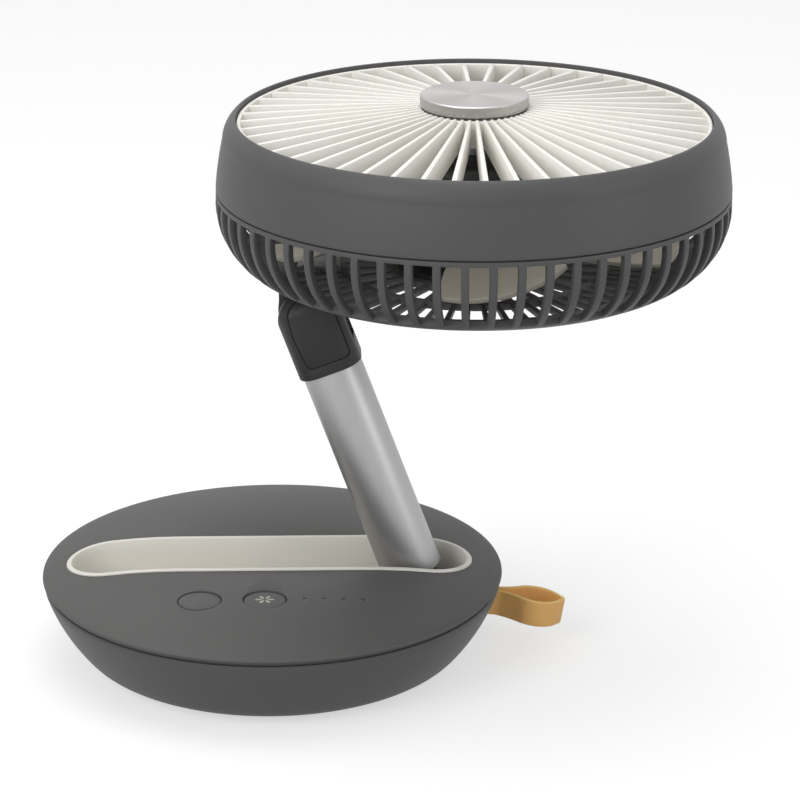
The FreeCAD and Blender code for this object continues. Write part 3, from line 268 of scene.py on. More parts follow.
def make_finishes(colours):
    """All the finishes, by the name that the pieces ask for."""
    ivory = {"grit": 1.2, "depth": 0.01, "mottle": 0.02}
    return {
        "shell": moulded_plastic("charcoal_abs_eroded", tuple(colours.shell), 0.52, Specular_IOR_Level=0.35),
        "cover": moulded_plastic("charcoal_abs_satin", tuple(colours.cover), 0.56, Specular_IOR_Level=0.3),
        "liner": moulded_plastic("warm_grey_abs", tuple(colours.liner), 0.42, **ivory),
        "ivory": moulded_plastic("ivory_abs", tuple(colours.ivory), 0.45, **ivory),
        # The blades' finish carries painted shade: its ivory is darkened for the shade inside the head.
        "blades": moulded_plastic("ivory_abs_blades", tuple(colours.blades), 0.4, **ivory),
        "knuckle": moulded_plastic("black_nylon", tuple(colours.knuckle), 0.5, grit=0.6, Specular_IOR_Level=0.35),
        "dark": moulded_plastic("black_acetal", linear("#1f1f1f"), 0.45),
        "rubber": moulded_plastic("anti_slip_rubber", linear("#262626"), 0.8, grit=0.9, depth=0.05),
        "mark": moulded_plastic("pad_printed_ink", tuple(colours.mark), 0.5, grit=1.2, depth=0.005),
        "faint_mark": moulded_plastic("grey_printed_ink", linear("#5a5c56"), 0.5, grit=1.2, depth=0.005),
        "tube": blasted_aluminium(tuple(colours.tube)),
        "hub": spun_aluminium(tuple(colours.hub)),
        "steel": zinc_steel(),
        "leather": tan_leather("vegetable_tanned_leather", tuple(colours.leather), 0.5),
        "leather_edge": tan_leather("burnished_leather_edge", shade(tuple(colours.leather), 1.25)[:3], 0.6),
        "lens": plain("smoked_polycarbonate", "#2e2e2c", 0.2, scale=900),
        "board": plain("lacquered_circuit_board", "#12502f", 0.35),
        "wrap": plain("heat_shrink_film", "#27598f", 0.3),
        "can": plain("black_coated_steel", "#1c1c1d", 0.4, metallic=0.3),
        "black_steel": plain("black_oxide_steel", "#2a2a2b", 0.45, metallic=0.8),
        "copper": plain("enamelled_copper_wire", "#a8623a", 0.35, metallic=0.9, scale=1500),
        "bronze": plain("sintered_bronze", "#a07c46", 0.5, metallic=1.0, scale=1500),
    }


FINISHES = {}


# Modelling steps


def only(piece):
    """Leaves one piece selected and active, in object mode."""
    if bpy.context.mode != "OBJECT":
        bpy.ops.object.mode_set(mode="OBJECT")
    bpy.ops.object.select_all(action="DESELECT")
    piece.select_set(True)
    bpy.context.view_layer.objects.active = piece


def begin(name, at):
    """Starts a piece in edit mode as one selected vertex."""
    bpy.ops.object.select_all(action="DESELECT")
    bpy.ops.mesh.primitive_plane_add(size=0.001, location=(0, 0, 0))
    piece = bpy.context.object
    piece.name = piece.data.name = name
    bpy.ops.object.mode_set(mode="EDIT")
    bpy.ops.mesh.select_mode(type="VERT")
    bpy.ops.mesh.select_all(action="SELECT")
    bpy.ops.mesh.merge(type="CENTER")
    bpy.ops.transform.translate(value=at)
    return piece


def outline_face(name, points):
    """Starts a piece in edit mode as one filled face with these corners."""
    piece = begin(name, points[0])
    trace([*points, points[0]])
    bpy.ops.mesh.select_all(action="SELECT")
    bpy.ops.mesh.remove_doubles(threshold=DOUBLE)
    bpy.ops.mesh.edge_face_add()
    return piece


def trace(points):
    """Extrudes the selected vertex, which is at the first point, on through the others."""
    for before, after in zip(points, points[1:]):
        bpy.ops.mesh.extrude_region_move(TRANSFORM_OT_translate={"value": after - before})


def close_up():
    """Merges doubles, turns every face outwards and leaves edit mode."""
    bpy.ops.mesh.select_all(action="SELECT")
    bpy.ops.mesh.remove_doubles(threshold=DOUBLE)
    bpy.ops.mesh.normals_make_consistent(inside=False)
    bpy.ops.object.mode_set(mode="OBJECT")


def repeat(count):
    """Copies the whole mesh, in edit mode, round the upright axis until there are so many of it."""
    bpy.ops.mesh.select_all(action="SELECT")
    turn = FULL * (count - 1) / count
    bpy.ops.mesh.spin(steps=count - 1, dupli=True, angle=turn, center=(0, 0, 0), axis=(0, 0, 1))


def choose(test, kind="verts"):
    """Selects, in edit mode, only the vertices or faces that pass a test."""
    bpy.ops.mesh.select_mode(type="FACE" if kind == "faces" else "VERT")
    bpy.ops.mesh.select_all(action="DESELECT")
    mesh = bmesh.from_edit_mesh(bpy.context.object.data)
    for item in getattr(mesh, kind):
        if test(item):
            item.select = True
    mesh.select_flush_mode()
    bmesh.update_edit_mesh(bpy.context.object.data)


def arc(start, end, radius, steps=12):
    """Points from start to end on an arc; a positive radius bulges to the left of the way."""
    a, b = Vector(start), Vector(end)
    half = (b - a) / 2
    left = Vector((-half.y, half.x)).normalized() * math.copysign(1, radius)
    centre = a + half - left * math.sqrt(radius**2 - half.length_squared)
    first = math.atan2(a.y - centre.y, a.x - centre.x)
    sweep = (math.atan2(b.y - centre.y, b.x - centre.x) - first + math.pi) % FULL - math.pi
    turns = [first + sweep * i / steps for i in range(steps + 1)]
    return [(centre.x + abs(radius) * math.cos(t), centre.y + abs(radius) * math.sin(t)) for t in turns]


def rounded(corners, closed=False, steps=4):
    """An outline's points; a corner's third number is the radius that rounds it."""
    count = len(corners)
    points = []
    for i, corner in enumerate(corners):
        here = Vector(corner[:2])
        if len(corner) == 2 or (not closed and i in (0, count - 1)):
            points.append(tuple(here))
            continue
        back = (Vector(corners[i - 1][:2]) - here).normalized()
        ahead = (Vector(corners[(i + 1) % count][:2]) - here).normalized()
        half = back.angle(ahead) / 2
        reach = corner[2] / math.tan(half)
        start, end = here + back * reach, here + ahead * reach
        side = 1 if back.x * ahead.y - back.y * ahead.x > 0 else -1
        points += arc(start, end, side * corner[2], steps)
    return points


def revolve(name, corners, steps, closed=False, centre=(0.0, 0.0)):
    """Turns a section of (radius, height) points about an upright axis."""
    points = [mm(centre[0] + r, centre[1], z) for r, z in corners]
    if closed:
        points.append(points[0])
    piece = begin(name, points[0])
    trace(points)
    bpy.ops.mesh.select_all(action="SELECT")
    bpy.ops.mesh.spin(steps=steps, angle=FULL, center=mm(*centre), axis=(0, 0, 1))
    close_up()
    return piece


def prism(name, outline, low, high, axis="z"):
    """An outline filled and extruded: along z it is (x, y), along y it is (x, z) and along x it is (y, z)."""
    lay = {
        "z": lambda u, v, w: mm(u, v, w),
        "y": lambda u, v, w: mm(u, w, v),
        "x": lambda u, v, w: mm(w, u, v),
    }[axis]
    points = [lay(u, v, low) for u, v in outline]
    piece = outline_face(name, points)
    bpy.ops.mesh.extrude_region_move(TRANSFORM_OT_translate={"value": lay(0, 0, high) - lay(0, 0, low)})
    close_up()
    return piece


def slot_outline(half_length, half_width, x=0.0, y=0.0, steps=24):
    """A slot with half-round ends."""
    straight = half_length - half_width
    ends = []
    for sign in (1, -1):
        turns = [math.pi * (i / steps - 0.5) for i in range(steps + 1)]
        ends += [(x + sign * (straight + half_width * math.cos(t)), y + sign * half_width * math.sin(t)) for t in turns]
    return ends


def carve(piece, tool, how="DIFFERENCE"):
    """Applies a Boolean with a tool and removes the tool."""
    only(piece)
    bpy.ops.object.modifier_add(type="BOOLEAN")
    step = piece.modifiers[-1]
    step.operation = how
    step.solver = "EXACT"
    step.object = tool
    bpy.ops.object.modifier_apply(modifier=step.name)
    bpy.data.meshes.remove(tool.data)
    return piece


def soften(piece, width, segments=2, angle=30.0):
    """Rounds the edges that are sharper than the angle; the width is in metres."""
    only(piece)
    bpy.ops.object.modifier_add(type="BEVEL")
    step = piece.modifiers[-1]
    step.width = width
    step.segments = segments
    step.limit_method = "ANGLE"
    step.angle_limit = math.radians(angle)
    bpy.ops.object.modifier_apply(modifier=step.name)


def thicken(piece, depth, offset=-1.0):
    """Gives a sheet a depth in metres: inwards, or to both sides with an offset of 0."""
    only(piece)
    bpy.ops.object.modifier_add(type="SOLIDIFY")
    step = piece.modifiers[-1]
    step.thickness = depth
    step.offset = offset
    step.use_even_offset = True
    bpy.ops.object.modifier_apply(modifier=step.name)


def merged(name, pieces):
    """Joins pieces into one object."""
    only(pieces[0])
    for piece in pieces:
        piece.select_set(True)
    bpy.ops.object.join()
    pieces[0].name = pieces[0].data.name = name
    return pieces[0]


def seat(piece, place):
    """Puts a piece that was modelled round the origin in its place, and applies that."""
    only(piece)
    piece.matrix_world = place
    bpy.ops.object.transform_apply(location=True, rotation=True, scale=True)


ARM_PLACE = Matrix.Translation(mm(PIVOT[0], 0, PIVOT[1])) @ Matrix.Rotation(-LEAN, 4, "Y")
KNUCKLE_PLACE = Matrix.Translation(mm(KNUCKLE[0], 0, KNUCKLE[1])) @ Matrix.Rotation(-LEAN, 4, "Y")
TILT_PLACE = Matrix.Translation(mm(KNUCKLE[0], 0, KNUCKLE[1]))
HEAD_PLACE = Matrix.Translation(mm(HEAD[0], 0, HEAD[1]))


def settle(piece, body, slot, material, *nodes, angle=32.0):
    """Shades a finished piece, dresses it and hands it to its body."""
    only(piece)
    bpy.ops.object.shade_smooth_by_angle(angle=math.radians(angle))
    if not piece.data.materials:
        piece.data.materials.append(FINISHES[material])
    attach(piece, body)
    if nodes:
        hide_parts(*nodes)


def dress(material, *nodes):
    """Gives nodes of the frame a finish."""
    for name in nodes:
        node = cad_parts[name]
        if not node.material_slots:
            node.data.materials.append(FINISHES[material])
        for place in node.material_slots:
            place.material = FINISHES[material]


def dome(x, y):
    """Height of the cover's top."""
    r = math.hypot(x, y)
    if r <= COVER_FLAT:
        return COVER_TOP
    return math.sqrt(245.1**2 - (r - 44.72) ** 2) - 201.35


# Base pieces


class FAN_OT_lower_shell(bpy.types.Operator):
    """Models the bowl-shaped lower shell with its strap slot and socket mouth"""

    bl_idname = "fan.lower_shell"
    bl_label = "Lower shell"

    def execute(self, context):
        size = context.scene.fan_sizes
        section = [
            (0, 2.0),
            (58.2, 2.0),
            (58.2, 1.2),
            *arc((71.0, 1.2), (84.5, 7.5), -17.6, 8),
            *arc((84.5, 7.5), (98.8, 32.5), -78.7, 12)[1:],
            (98.8, 33.8),
            (98.3, 34.3),
            (94.6, 34.3),
            (94.6, 30.0),
            *arc((94.0, 26.0), (82.6, 9.1), 76.3, 8),
            *arc((82.6, 9.1), (71.0, 3.6), 15.2, 6)[1:],
            (0, 3.6),
        ]
        shell = revolve("lower_shell", section, size.rim_steps)
        carve(shell, prism("strap_slot_tool", [(84.5, -3.9), (104.5, -3.9), (104.5, 3.9), (84.5, 3.9)], 15.2, 28.7))
        carve(shell, prism("socket_tool", slot_outline(4.9, 1.95, 0, 20), 84, 104, "y"))
        for i in range(4):
            turn = math.radians(45 + 90 * i)
            spot = (SCREW_CIRCLE * math.cos(turn), SCREW_CIRCLE * math.sin(turn))
            carve(shell, revolve("screw_tool", [(0, 0), (3.2, 0), (3.2, 5), (0, 5)], 32, centre=spot))
        soften(shell, 0.00025, 2, 50)
        settle(shell, "base", "charcoal_shell", "shell", "base_lower_shell")
        return {"FINISHED"}


class FAN_OT_top_cover(bpy.types.Operator):
    """Models the domed top cover with its openings"""

    bl_idname = "fan.top_cover"
    bl_label = "Top cover"

    def execute(self, context):
        size = context.scene.fan_sizes
        section = [
            (95.0, 34.6),
            (98.0, 34.6),
            (99.8, 36.75),
            *arc((99.8, 36.75), (99.3, 37.62), -0.9, 4)[1:],
            *[(r, dome(r, 0)) for r in range(96, 44, -4)],
            (0, COVER_TOP),
            (0, COVER_TOP - 2.4),
            *[(r, dome(r, 0) - 2.4) for r in range(48, 97, 8)],
            (95.0, 35.4),
        ]
        cover = revolve("top_cover", section, size.rim_steps, closed=True)
        carve(cover, prism("recess_tool", slot_outline(87.1, RECESS_HALF_WIDTH, RECESS_X, 0, 40), 25, 55))
        for x in (POWER_X, SPEED_X):
            hole = [(0, 30), (9.45, 30), (9.45, 50), (0, 50)]
            carve(cover, revolve("button_tool", hole, 64, centre=(x, BUTTON_Y)))
        for x in LIGHTS_X:
            carve(cover, revolve("light_tool", [(0, 30), (1.0, 30), (1.0, 50), (0, 50)], 24, centre=(x, BUTTON_Y)))
        soften(cover, 0.0002, 2, 50)
        settle(cover, "base", "charcoal_cover", "cover", "base_top_cover")
        return {"FINISHED"}


class FAN_OT_recess_liner(bpy.types.Operator):
    """Models the light tub in the top, with a thin rounded lip that follows the dome"""

    bl_idname = "fan.recess_liner"
    bl_label = "Recess liner"

    def execute(self, context):
        top = COVER_TOP
        section = rounded([
            (0, 12.7),
            (16.3, 12.7, 5.0),
            (16.3, top - 5.0),
            (17.2, top + 0.8, 0.4),
            (19.3, top + 0.8, 0.45),
            (19.3, top + 0.05),
            (17.9, top + 0.05),
            (17.9, 11.1, 7.0),
            (0, 11.1),
        ])
        right, left = RECESS_X + RECESS_STRAIGHT, RECESS_X - RECESS_STRAIGHT
        points = [mm(right, -d, z) for d, z in section]
        liner = begin("recess_liner", points[0])
        trace(points)
        bpy.ops.mesh.select_all(action="SELECT")
        run = mm(2 * RECESS_STRAIGHT / 14)
        for centre, way in ((right, -1), (left, 1)):
            bpy.ops.mesh.spin(steps=40, angle=math.pi, center=mm(centre), axis=(0, 0, -1))
            for _ in range(14):
                bpy.ops.mesh.extrude_region_move(TRANSFORM_OT_translate={"value": run * way})
        bpy.ops.mesh.select_all(action="SELECT")
        bpy.ops.mesh.remove_doubles(threshold=DOUBLE)
        mesh = bmesh.from_edit_mesh(liner.data)
        for vertex in mesh.verts:
            if vertex.co.z > 0.04:
                vertex.co.z += (dome(vertex.co.x * 1000, vertex.co.y * 1000) - top) / 1000
        bmesh.update_edit_mesh(liner.data)
        close_up()
        turns = [FULL * i / 32 for i in range(32)]
        round_bore = [(PIVOT[0] + 3.3 * math.cos(t), PIVOT[1] + 3.3 * math.sin(t)) for t in turns]
        carve(liner, prism("bore_tool", round_bore, -30, 30, "y"))
        settle(liner, "base", "warm_grey_liner", "liner", "channel_liner")
        return {"FINISHED"}


class FAN_OT_grip_pad(bpy.types.Operator):
    """Models the anti-slip pad with its ring grooves"""

    bl_idname = "fan.grip_pad"
    bl_label = "Anti-slip pad"

    def execute(self, context):
        section = [(0, 0)]
        for outer in (29, 38, 47, 56):
            section += [(outer - 2, 0), (outer - 2, 0.5), (outer, 0.5), (outer, 0)]
        section += [(57.5, 0), (57.9, 0.2), (58, 0.6), (58, 1.95), (0, 1.95)]
        pad = revolve("grip_pad", section, 128)
        settle(pad, "base", "grip_rubber", "rubber", "foot_pad")
        return {"FINISHED"}


class FAN_OT_buttons(bpy.types.Operator):
    """Models the two crowned buttons and the marks printed on them"""

    bl_idname = "fan.buttons"
    bl_label = "Buttons"

    def execute(self, context):
        section = [
            (0, 38.5),
            (1.8, 38.5),
            (1.8, 38.9),
            (10, 38.9),
            (10, 39.6),
            (9, 39.6),
            (9, 42.85),
            *arc((9, 42.85), (8.5, 43.22), -0.6, 4)[1:],
            (6, 43.38),
            (3, 43.47),
            (0, 43.5),
        ]
        for name, x in (("power_button", POWER_X), ("speed_button", SPEED_X)):
            cap = revolve(name + "_cap", section, 64, centre=(x, BUTTON_Y))
            settle(cap, name, "charcoal_cover", "cover", name)
        petals = []
        for i in range(6):
            turn = FULL * i / 6
            outline = [(1.0, -0.3), (2.6, -0.7), (3.6, -0.55), (4.1, 0), (3.6, 0.55), (2.6, 0.7), (1.0, 0.3)]
            along, across = Vector((math.cos(turn), math.sin(turn))), Vector((-math.sin(turn), math.cos(turn)))
            spun = [tuple(Vector((SPEED_X, BUTTON_Y)) + along * u + across * v) for u, v in outline]
            petals.append(prism("petal", spun, 43.2, 43.53))
        mark = merged("speed_mark", petals)
        settle(mark, "speed_button", "charcoal_cover", "mark")
        open_ring = [math.radians(a) for a in range(-235, 56, 10)]
        outline = [(POWER_X + 3.1 * math.cos(t), BUTTON_Y + 3.1 * math.sin(t)) for t in open_ring]
        outline += [(POWER_X + 2.6 * math.cos(t), BUTTON_Y + 2.6 * math.sin(t)) for t in reversed(open_ring)]
        bar = [(POWER_X - 0.25, BUTTON_Y + 0.8), (POWER_X + 0.25, BUTTON_Y + 0.8)]
        bar += [(POWER_X + 0.25, BUTTON_Y + 3.4), (POWER_X - 0.25, BUTTON_Y + 3.4)]
        power = merged("power_mark", [prism("ring", outline, 43.2, 43.52), prism("bar", bar, 43.2, 43.52)])
        settle(power, "power_button", "charcoal_cover", "faint_mark")
        return {"FINISHED"}


class FAN_OT_lights(bpy.types.Operator):
    """Models the four charge lights"""

    bl_idname = "fan.lights"
    bl_label = "Charge lights"

    def execute(self, context):
        made = []
        for x in LIGHTS_X:
            top = dome(x, BUTTON_Y) - 0.25
            section = [(0, 35.1), (1.7, 35.1), (1.7, 36.5), (0.9, 36.5), (0.9, top - 0.15), (0.7, top), (0, top)]
            made.append(revolve("light", section, 24, centre=(x, BUTTON_Y)))
        settle(merged("charge_lights", made), "base", "light_lens", "lens", "led_lenses")
        return {"FINISHED"}


class FAN_OT_strap(bpy.types.Operator):
    """Models the leather loop: one band on its edge, with burnished cut edges"""

    bl_idname = "fan.strap"
    bl_label = "Carry strap"

    def execute(self, context):
        size = context.scene.fan_sizes
        half = [
            *arc((-2.6, 0), (0, 2.6), 2.6, 6),
            *arc((0, 2.6), (8, 1.9), 60, 4)[1:],
            *arc((8, 1.9), (19, 7.1), -34, 8)[1:],
            *arc((19, 7.1), (34.7, 2.4), 11.6, 14)[1:],
            *arc((34.7, 2.4), (36.2, 0), 3.6, 4)[1:],
        ]
        line = half + [(x, -y) for x, y in reversed(half[1:-1])]
        points = [mm(x, y, -STRAP_WIDTH / 2) for x, y in line]
        band = begin("carry_loop", points[0])
        trace([*points, points[0]])
        bpy.ops.mesh.select_all(action="SELECT")
        bpy.ops.mesh.remove_doubles(threshold=DOUBLE)
        for _ in range(6):
            bpy.ops.mesh.extrude_region_move(TRANSFORM_OT_translate={"value": mm(0, 0, STRAP_WIDTH / 6)})
        close_up()
        thicken(band, size.leather, 0.0)
        band.data.materials.append(FINISHES["leather"])
        band.data.materials.append(FINISHES["leather_edge"])
        for face in band.data.polygons:
            face.material_index = 1 if abs(face.normal.z) > 0.7 else 0
        soften(band, 0.00045, 3, 50)
        seat(band, Matrix.Translation(mm(STRAP_PIN[0], 0, STRAP_PIN[1])) @ Matrix.Rotation(STRAP_DROOP, 4, "Y"))
        settle(band, "base", "tan_leather", "leather", "carry_strap", angle=40)
        return {"FINISHED"}


# Arm pieces


class FAN_OT_arm_tube(bpy.types.Operator):
    """Models the arm's tube with its broken edges"""

    bl_idname = "fan.arm_tube"
    bl_label = "Arm tube"

    def execute(self, context):
        section = rounded([(13.15, 9.4, 0.4), (13.15, 115.0, 0.4), (11.65, 115.0), (11.65, 9.4)], closed=True)
        tube = revolve("arm_tube_skin", section, 128, closed=True)
        seat(tube, ARM_PLACE)
        settle(tube, "arm", "satin_aluminium", "tube", "arm_tube")
        return {"FINISHED"}


def panel_outline(grow):
    """Front panel of the knuckle, seen from the front: a shield with a wide round upper corner."""
    g = grow
    return rounded([
        (-8.0 - g, -18.4 - g, 2.2),
        (10.8 + g, -18.4 - g, 2.2),
        (10.8 + g, 9.0 + g, 5.0),
        (2.0, 12.6 + g, 3.0),
        (-7.8 - g, 8.6 + g, 6.0),
        (-9.3 - g, -3.0, 8.0),
    ], closed=True, steps=6)


def knuckle_form(name, inset=0.0):
    """The knuckle's outer form, drawn in by an inset: a square section rounded until it is nearly a circle, under a
    top that is round both ways about the pivot."""
    half, corner = 14 - inset, 9 - inset
    ends = [(-half, -half, corner), (half, -half, corner), (half, half, corner), (-half, half, corner)]
    form = prism(name, rounded(ends, closed=True, steps=16), -23.4, 15)
    for radius, axis in ((14.02 - inset, "y"), (14.9 - inset, "x")):
        top = [*arc((radius, 0), (0, radius), -radius, 16), *arc((0, radius), (-radius, 0), -radius, 16)[1:]]
        carve(form, prism("nose_tool", [(radius, -26), *top, (-radius, -26)], -20, 20, axis), "INTERSECT")
    return form


class FAN_OT_knuckle(bpy.types.Operator):
    """Models the knuckle's sleeve and cheeks, and the panels let into its front and rear"""

    bl_idname = "fan.knuckle"
    bl_label = "Knuckle"

    def execute(self, context):
        size = context.scene.fan_sizes
        sleeve = knuckle_form("knuckle_sleeve")
        for sign in (-1, 1):
            low, high = sorted((sign * 7.3, sign * 18.0))
            groove = prism("groove_tool", panel_outline(0.3), low, high, "y")
            carve(groove, knuckle_form("groove_floor", 0.9))
            carve(sleeve, groove)
        carve(sleeve, prism("tongue_tool", [(-6.7, -14.1), (6.7, -14.1), (6.7, 20), (-6.7, 20)], -20, 20, "x"))
        soften(sleeve, size.edge, 3, 35)
        seat(sleeve, KNUCKLE_PLACE)
        settle(sleeve, "arm", "knuckle_plastic", "knuckle", "knuckle_fork")
        panels = []
        for sign in (-1, 1):
            low, high = sorted((sign * 7.6, sign * 18.0))
            panel = prism("panel", panel_outline(0.0), low, high, "y")
            carve(panel, knuckle_form("panel_face", 0.15), "INTERSECT")
            carve(panel, knuckle_form("panel_back", 1.6))
            panels.append(panel)
        cover = merged("knuckle_panels", panels)
        soften(cover, 0.0003, 2, 35)
        seat(cover, KNUCKLE_PLACE)
        settle(cover, "arm", "knuckle_plastic", "knuckle", "knuckle_covers")
        return {"FINISHED"}


class FAN_OT_bracket(bpy.types.Operator):
    """Models the head's bracket: a tongue round the pivot and the saddle that carries the head"""

    bl_idname = "fan.bracket"
    bl_label = "Head bracket"

    def execute(self, context):
        size = context.scene.fan_sizes
        tongue = [(13.6, 17), *arc((13.6, 0), (0, -13.6), 13.6, 16), *arc((0, -13.6), (-13.6, 0), 13.6, 16)[1:]]
        tongue += [(-13.6, 17)]
        bracket = prism("head_tongue", tongue, -3, 3, "y")
        saddle = rounded([(-13.6, -13, 2), (13.6, -13, 2), (13.6, 13, 2), (-13.6, 13, 2)], closed=True)
        carve(bracket, prism("saddle_tool", saddle, 15, 19.95), "UNION")
        soften(bracket, size.edge, 2, 35)
        seat(bracket, TILT_PLACE)
        settle(bracket, "head", "knuckle_plastic", "knuckle", "head_bracket")
        return {"FINISHED"}


# Head pieces


class FAN_OT_rear_shell(bpy.types.Operator):
    """Models the rear shell: curved side ribs, slotted back and centre plate"""

    bl_idname = "fan.rear_shell"
    bl_label = "Rear shell"

    def execute(self, context):
        size = context.scene.fan_sizes
        pitch = 360 / size.spoke_count
        rib, spoke = 1.7, 3.7
        side = arc((81.5, 0), (107.9, 34), -31.3, 14)
        flat = [(r, 0) for r in (0, 18, 34, 36, 45, 54, 58, 67.5, 77)]
        section = [*flat, *side, (107.9, 36.1)]
        start = math.radians(-pitch / 2)
        points = [mm(r * math.cos(start), r * math.sin(start), z) for r, z in section]
        shell = begin("rear_cage", points[0])
        trace(points)
        bpy.ops.mesh.select_all(action="SELECT")
        half_edges = [rib / 2, spoke / 2, pitch / 2 - rib / 2, pitch / 2]
        edges = [*(-e for e in reversed(half_edges)), *half_edges]
        for low, high in zip(edges, edges[1:]):
            steps = max(1, round((high - low) / 1.3))
            bpy.ops.mesh.spin(steps=steps, angle=math.radians(high - low), center=(0, 0, 0), axis=(0, 0, -1))

        def is_gap(face):
            """A face of a slot, by the middle of the face."""
            middle = face.calc_center_median() * 1000
            r, z = math.hypot(middle.x, middle.y), middle.z
            turn = abs(math.degrees(math.atan2(middle.y, middle.x)))
            if 4.0 < z < 32.6 or 58 < r < 77:
                return rib / 2 < turn < pitch / 2 - rib / 2
            return 36 < r < 54 and turn > spoke / 2

        choose(is_gap, "faces")
        bpy.ops.mesh.delete(type="FACE")
        repeat(size.spoke_count)
        bpy.ops.mesh.select_all(action="SELECT")
        bpy.ops.mesh.remove_doubles(threshold=DOUBLE)
        mesh = bmesh.from_edit_mesh(shell.data)
        for face in mesh.faces:
            middle = face.calc_center_median()
            outwards = Vector((middle.x, middle.y, middle.z - 0.04))
            if face.normal.dot(outwards) < 0:
                face.normal_flip()
        bmesh.update_edit_mesh(shell.data)
        bpy.ops.object.mode_set(mode="OBJECT")
        thicken(shell, 0.003)
        soften(shell, size.edge, 2, 40)
        seat(shell, HEAD_PLACE @ Matrix.Rotation(CAGE_TURN, 4, "Z"))
        settle(shell, "head", "charcoal_shell", "shell", "rear_shell", angle=40)
        return {"FINISHED"}


class FAN_OT_bezel(bpy.types.Operator):
    """Models the head's deep outer ring with its rounded shoulder and thin lip"""

    bl_idname = "fan.bezel"
    bl_label = "Bezel ring"

    def execute(self, context):
        size = context.scene.fan_sizes
        section = [
            (105.3, 36.5),
            (107.4, 36.5),
            (107.86, 37.0),
            *arc((107.88, 38), (104.9, 57.7), -150, 14),
            *arc((104.9, 57.7), (100.6, 66.5), -12, 12)[1:],
            (100.2, 66.7),
            (99.5, 66.7),
            (99.2, 66.4),
            (99.2, 53.7),
            (97.2, 53.7),
            (97.2, 51.7),
            (102.7, 49),
            (105.3, 40),
        ]
        ring = revolve("bezel", section, size.rim_steps, closed=True)
        seat(ring, HEAD_PLACE)
        settle(ring, "head", "charcoal_shell", "shell", "bezel_ring", angle=28)
        return {"FINISHED"}


class FAN_OT_grille(bpy.types.Operator):
    """Models the deep radial fins with their rim and hub ring"""

    bl_idname = "fan.grille"
    bl_label = "Front grille"

    def execute(self, context):
        size = context.scene.fan_sizes
        inner, outer = size.fin_hub * 500, size.fin_rim * 500
        corners = [
            mm(22.9, -inner, 60.0),
            mm(97.8, -outer, 54.0),
            mm(97.8, -outer, 65.0),
            mm(22.9, -inner, 71.0),
        ]
        fins = outline_face("fins", corners)
        bpy.ops.mesh.extrude_region_move(TRANSFORM_OT_translate={"value": (0, 0, 0)})
        bpy.ops.transform.resize(value=(1, -1, 1), center_override=(0, 0, 0))
        close_up()
        soften(fins, size.edge, 2, 40)
        bpy.ops.object.mode_set(mode="EDIT")
        repeat(size.fin_count)
        bpy.ops.object.mode_set(mode="OBJECT")
        rim = revolve(
            "rim",
            rounded([(97.2, 53.9, 0.3), (98.8, 53.9, 0.3), (98.8, 65.0, 0.5), (97.2, 65.0, 0.5)], closed=True),
            size.rim_steps,
            closed=True,
        )
        hub = revolve(
            "hub_ring",
            rounded([(0, 59.0), (23.9, 59.0, 0.5), (23.9, 70.2, 0.5), (21.7, 70.2, 0.4), (21.7, 67.0), (0, 67.0)]),
            96,
        )
        grille = merged("radial_grille", [fins, rim, hub])
        seat(grille, HEAD_PLACE)
        settle(grille, "head", "ivory_fins", "ivory", "front_grille", angle=40)
        return {"FINISHED"}


class FAN_OT_hub_cap(bpy.types.Operator):
    """Models the spun aluminium cap in the middle of the grille"""

    bl_idname = "fan.hub_cap"
    bl_label = "Hub cap"

    def execute(self, context):
        section = rounded([
            (0, 71.5),
            (21.1, 71.5),
            (21.1, 71.2),
            (22.4, 71.2, 0.2),
            (22.7, 72.6, 0.4),
            (22.7, 75.5, 0.25),
            (22.15, 76.0, 0.25),
            (8.0, 76.0),
            (0, 76.0),
        ])
        cap = revolve("spun_cap", section, 128)
        seat(cap, HEAD_PLACE)
        settle(cap, "head", "spun_aluminium", "hub", "hub_cap", angle=25)
        return {"FINISHED"}


def between(share, inner, middle, outer):
    """A value that runs smoothly through three others."""
    return inner * (1 - share) * (1 - 2 * share) + 4 * middle * share * (1 - share) + outer * share * (2 * share - 1)


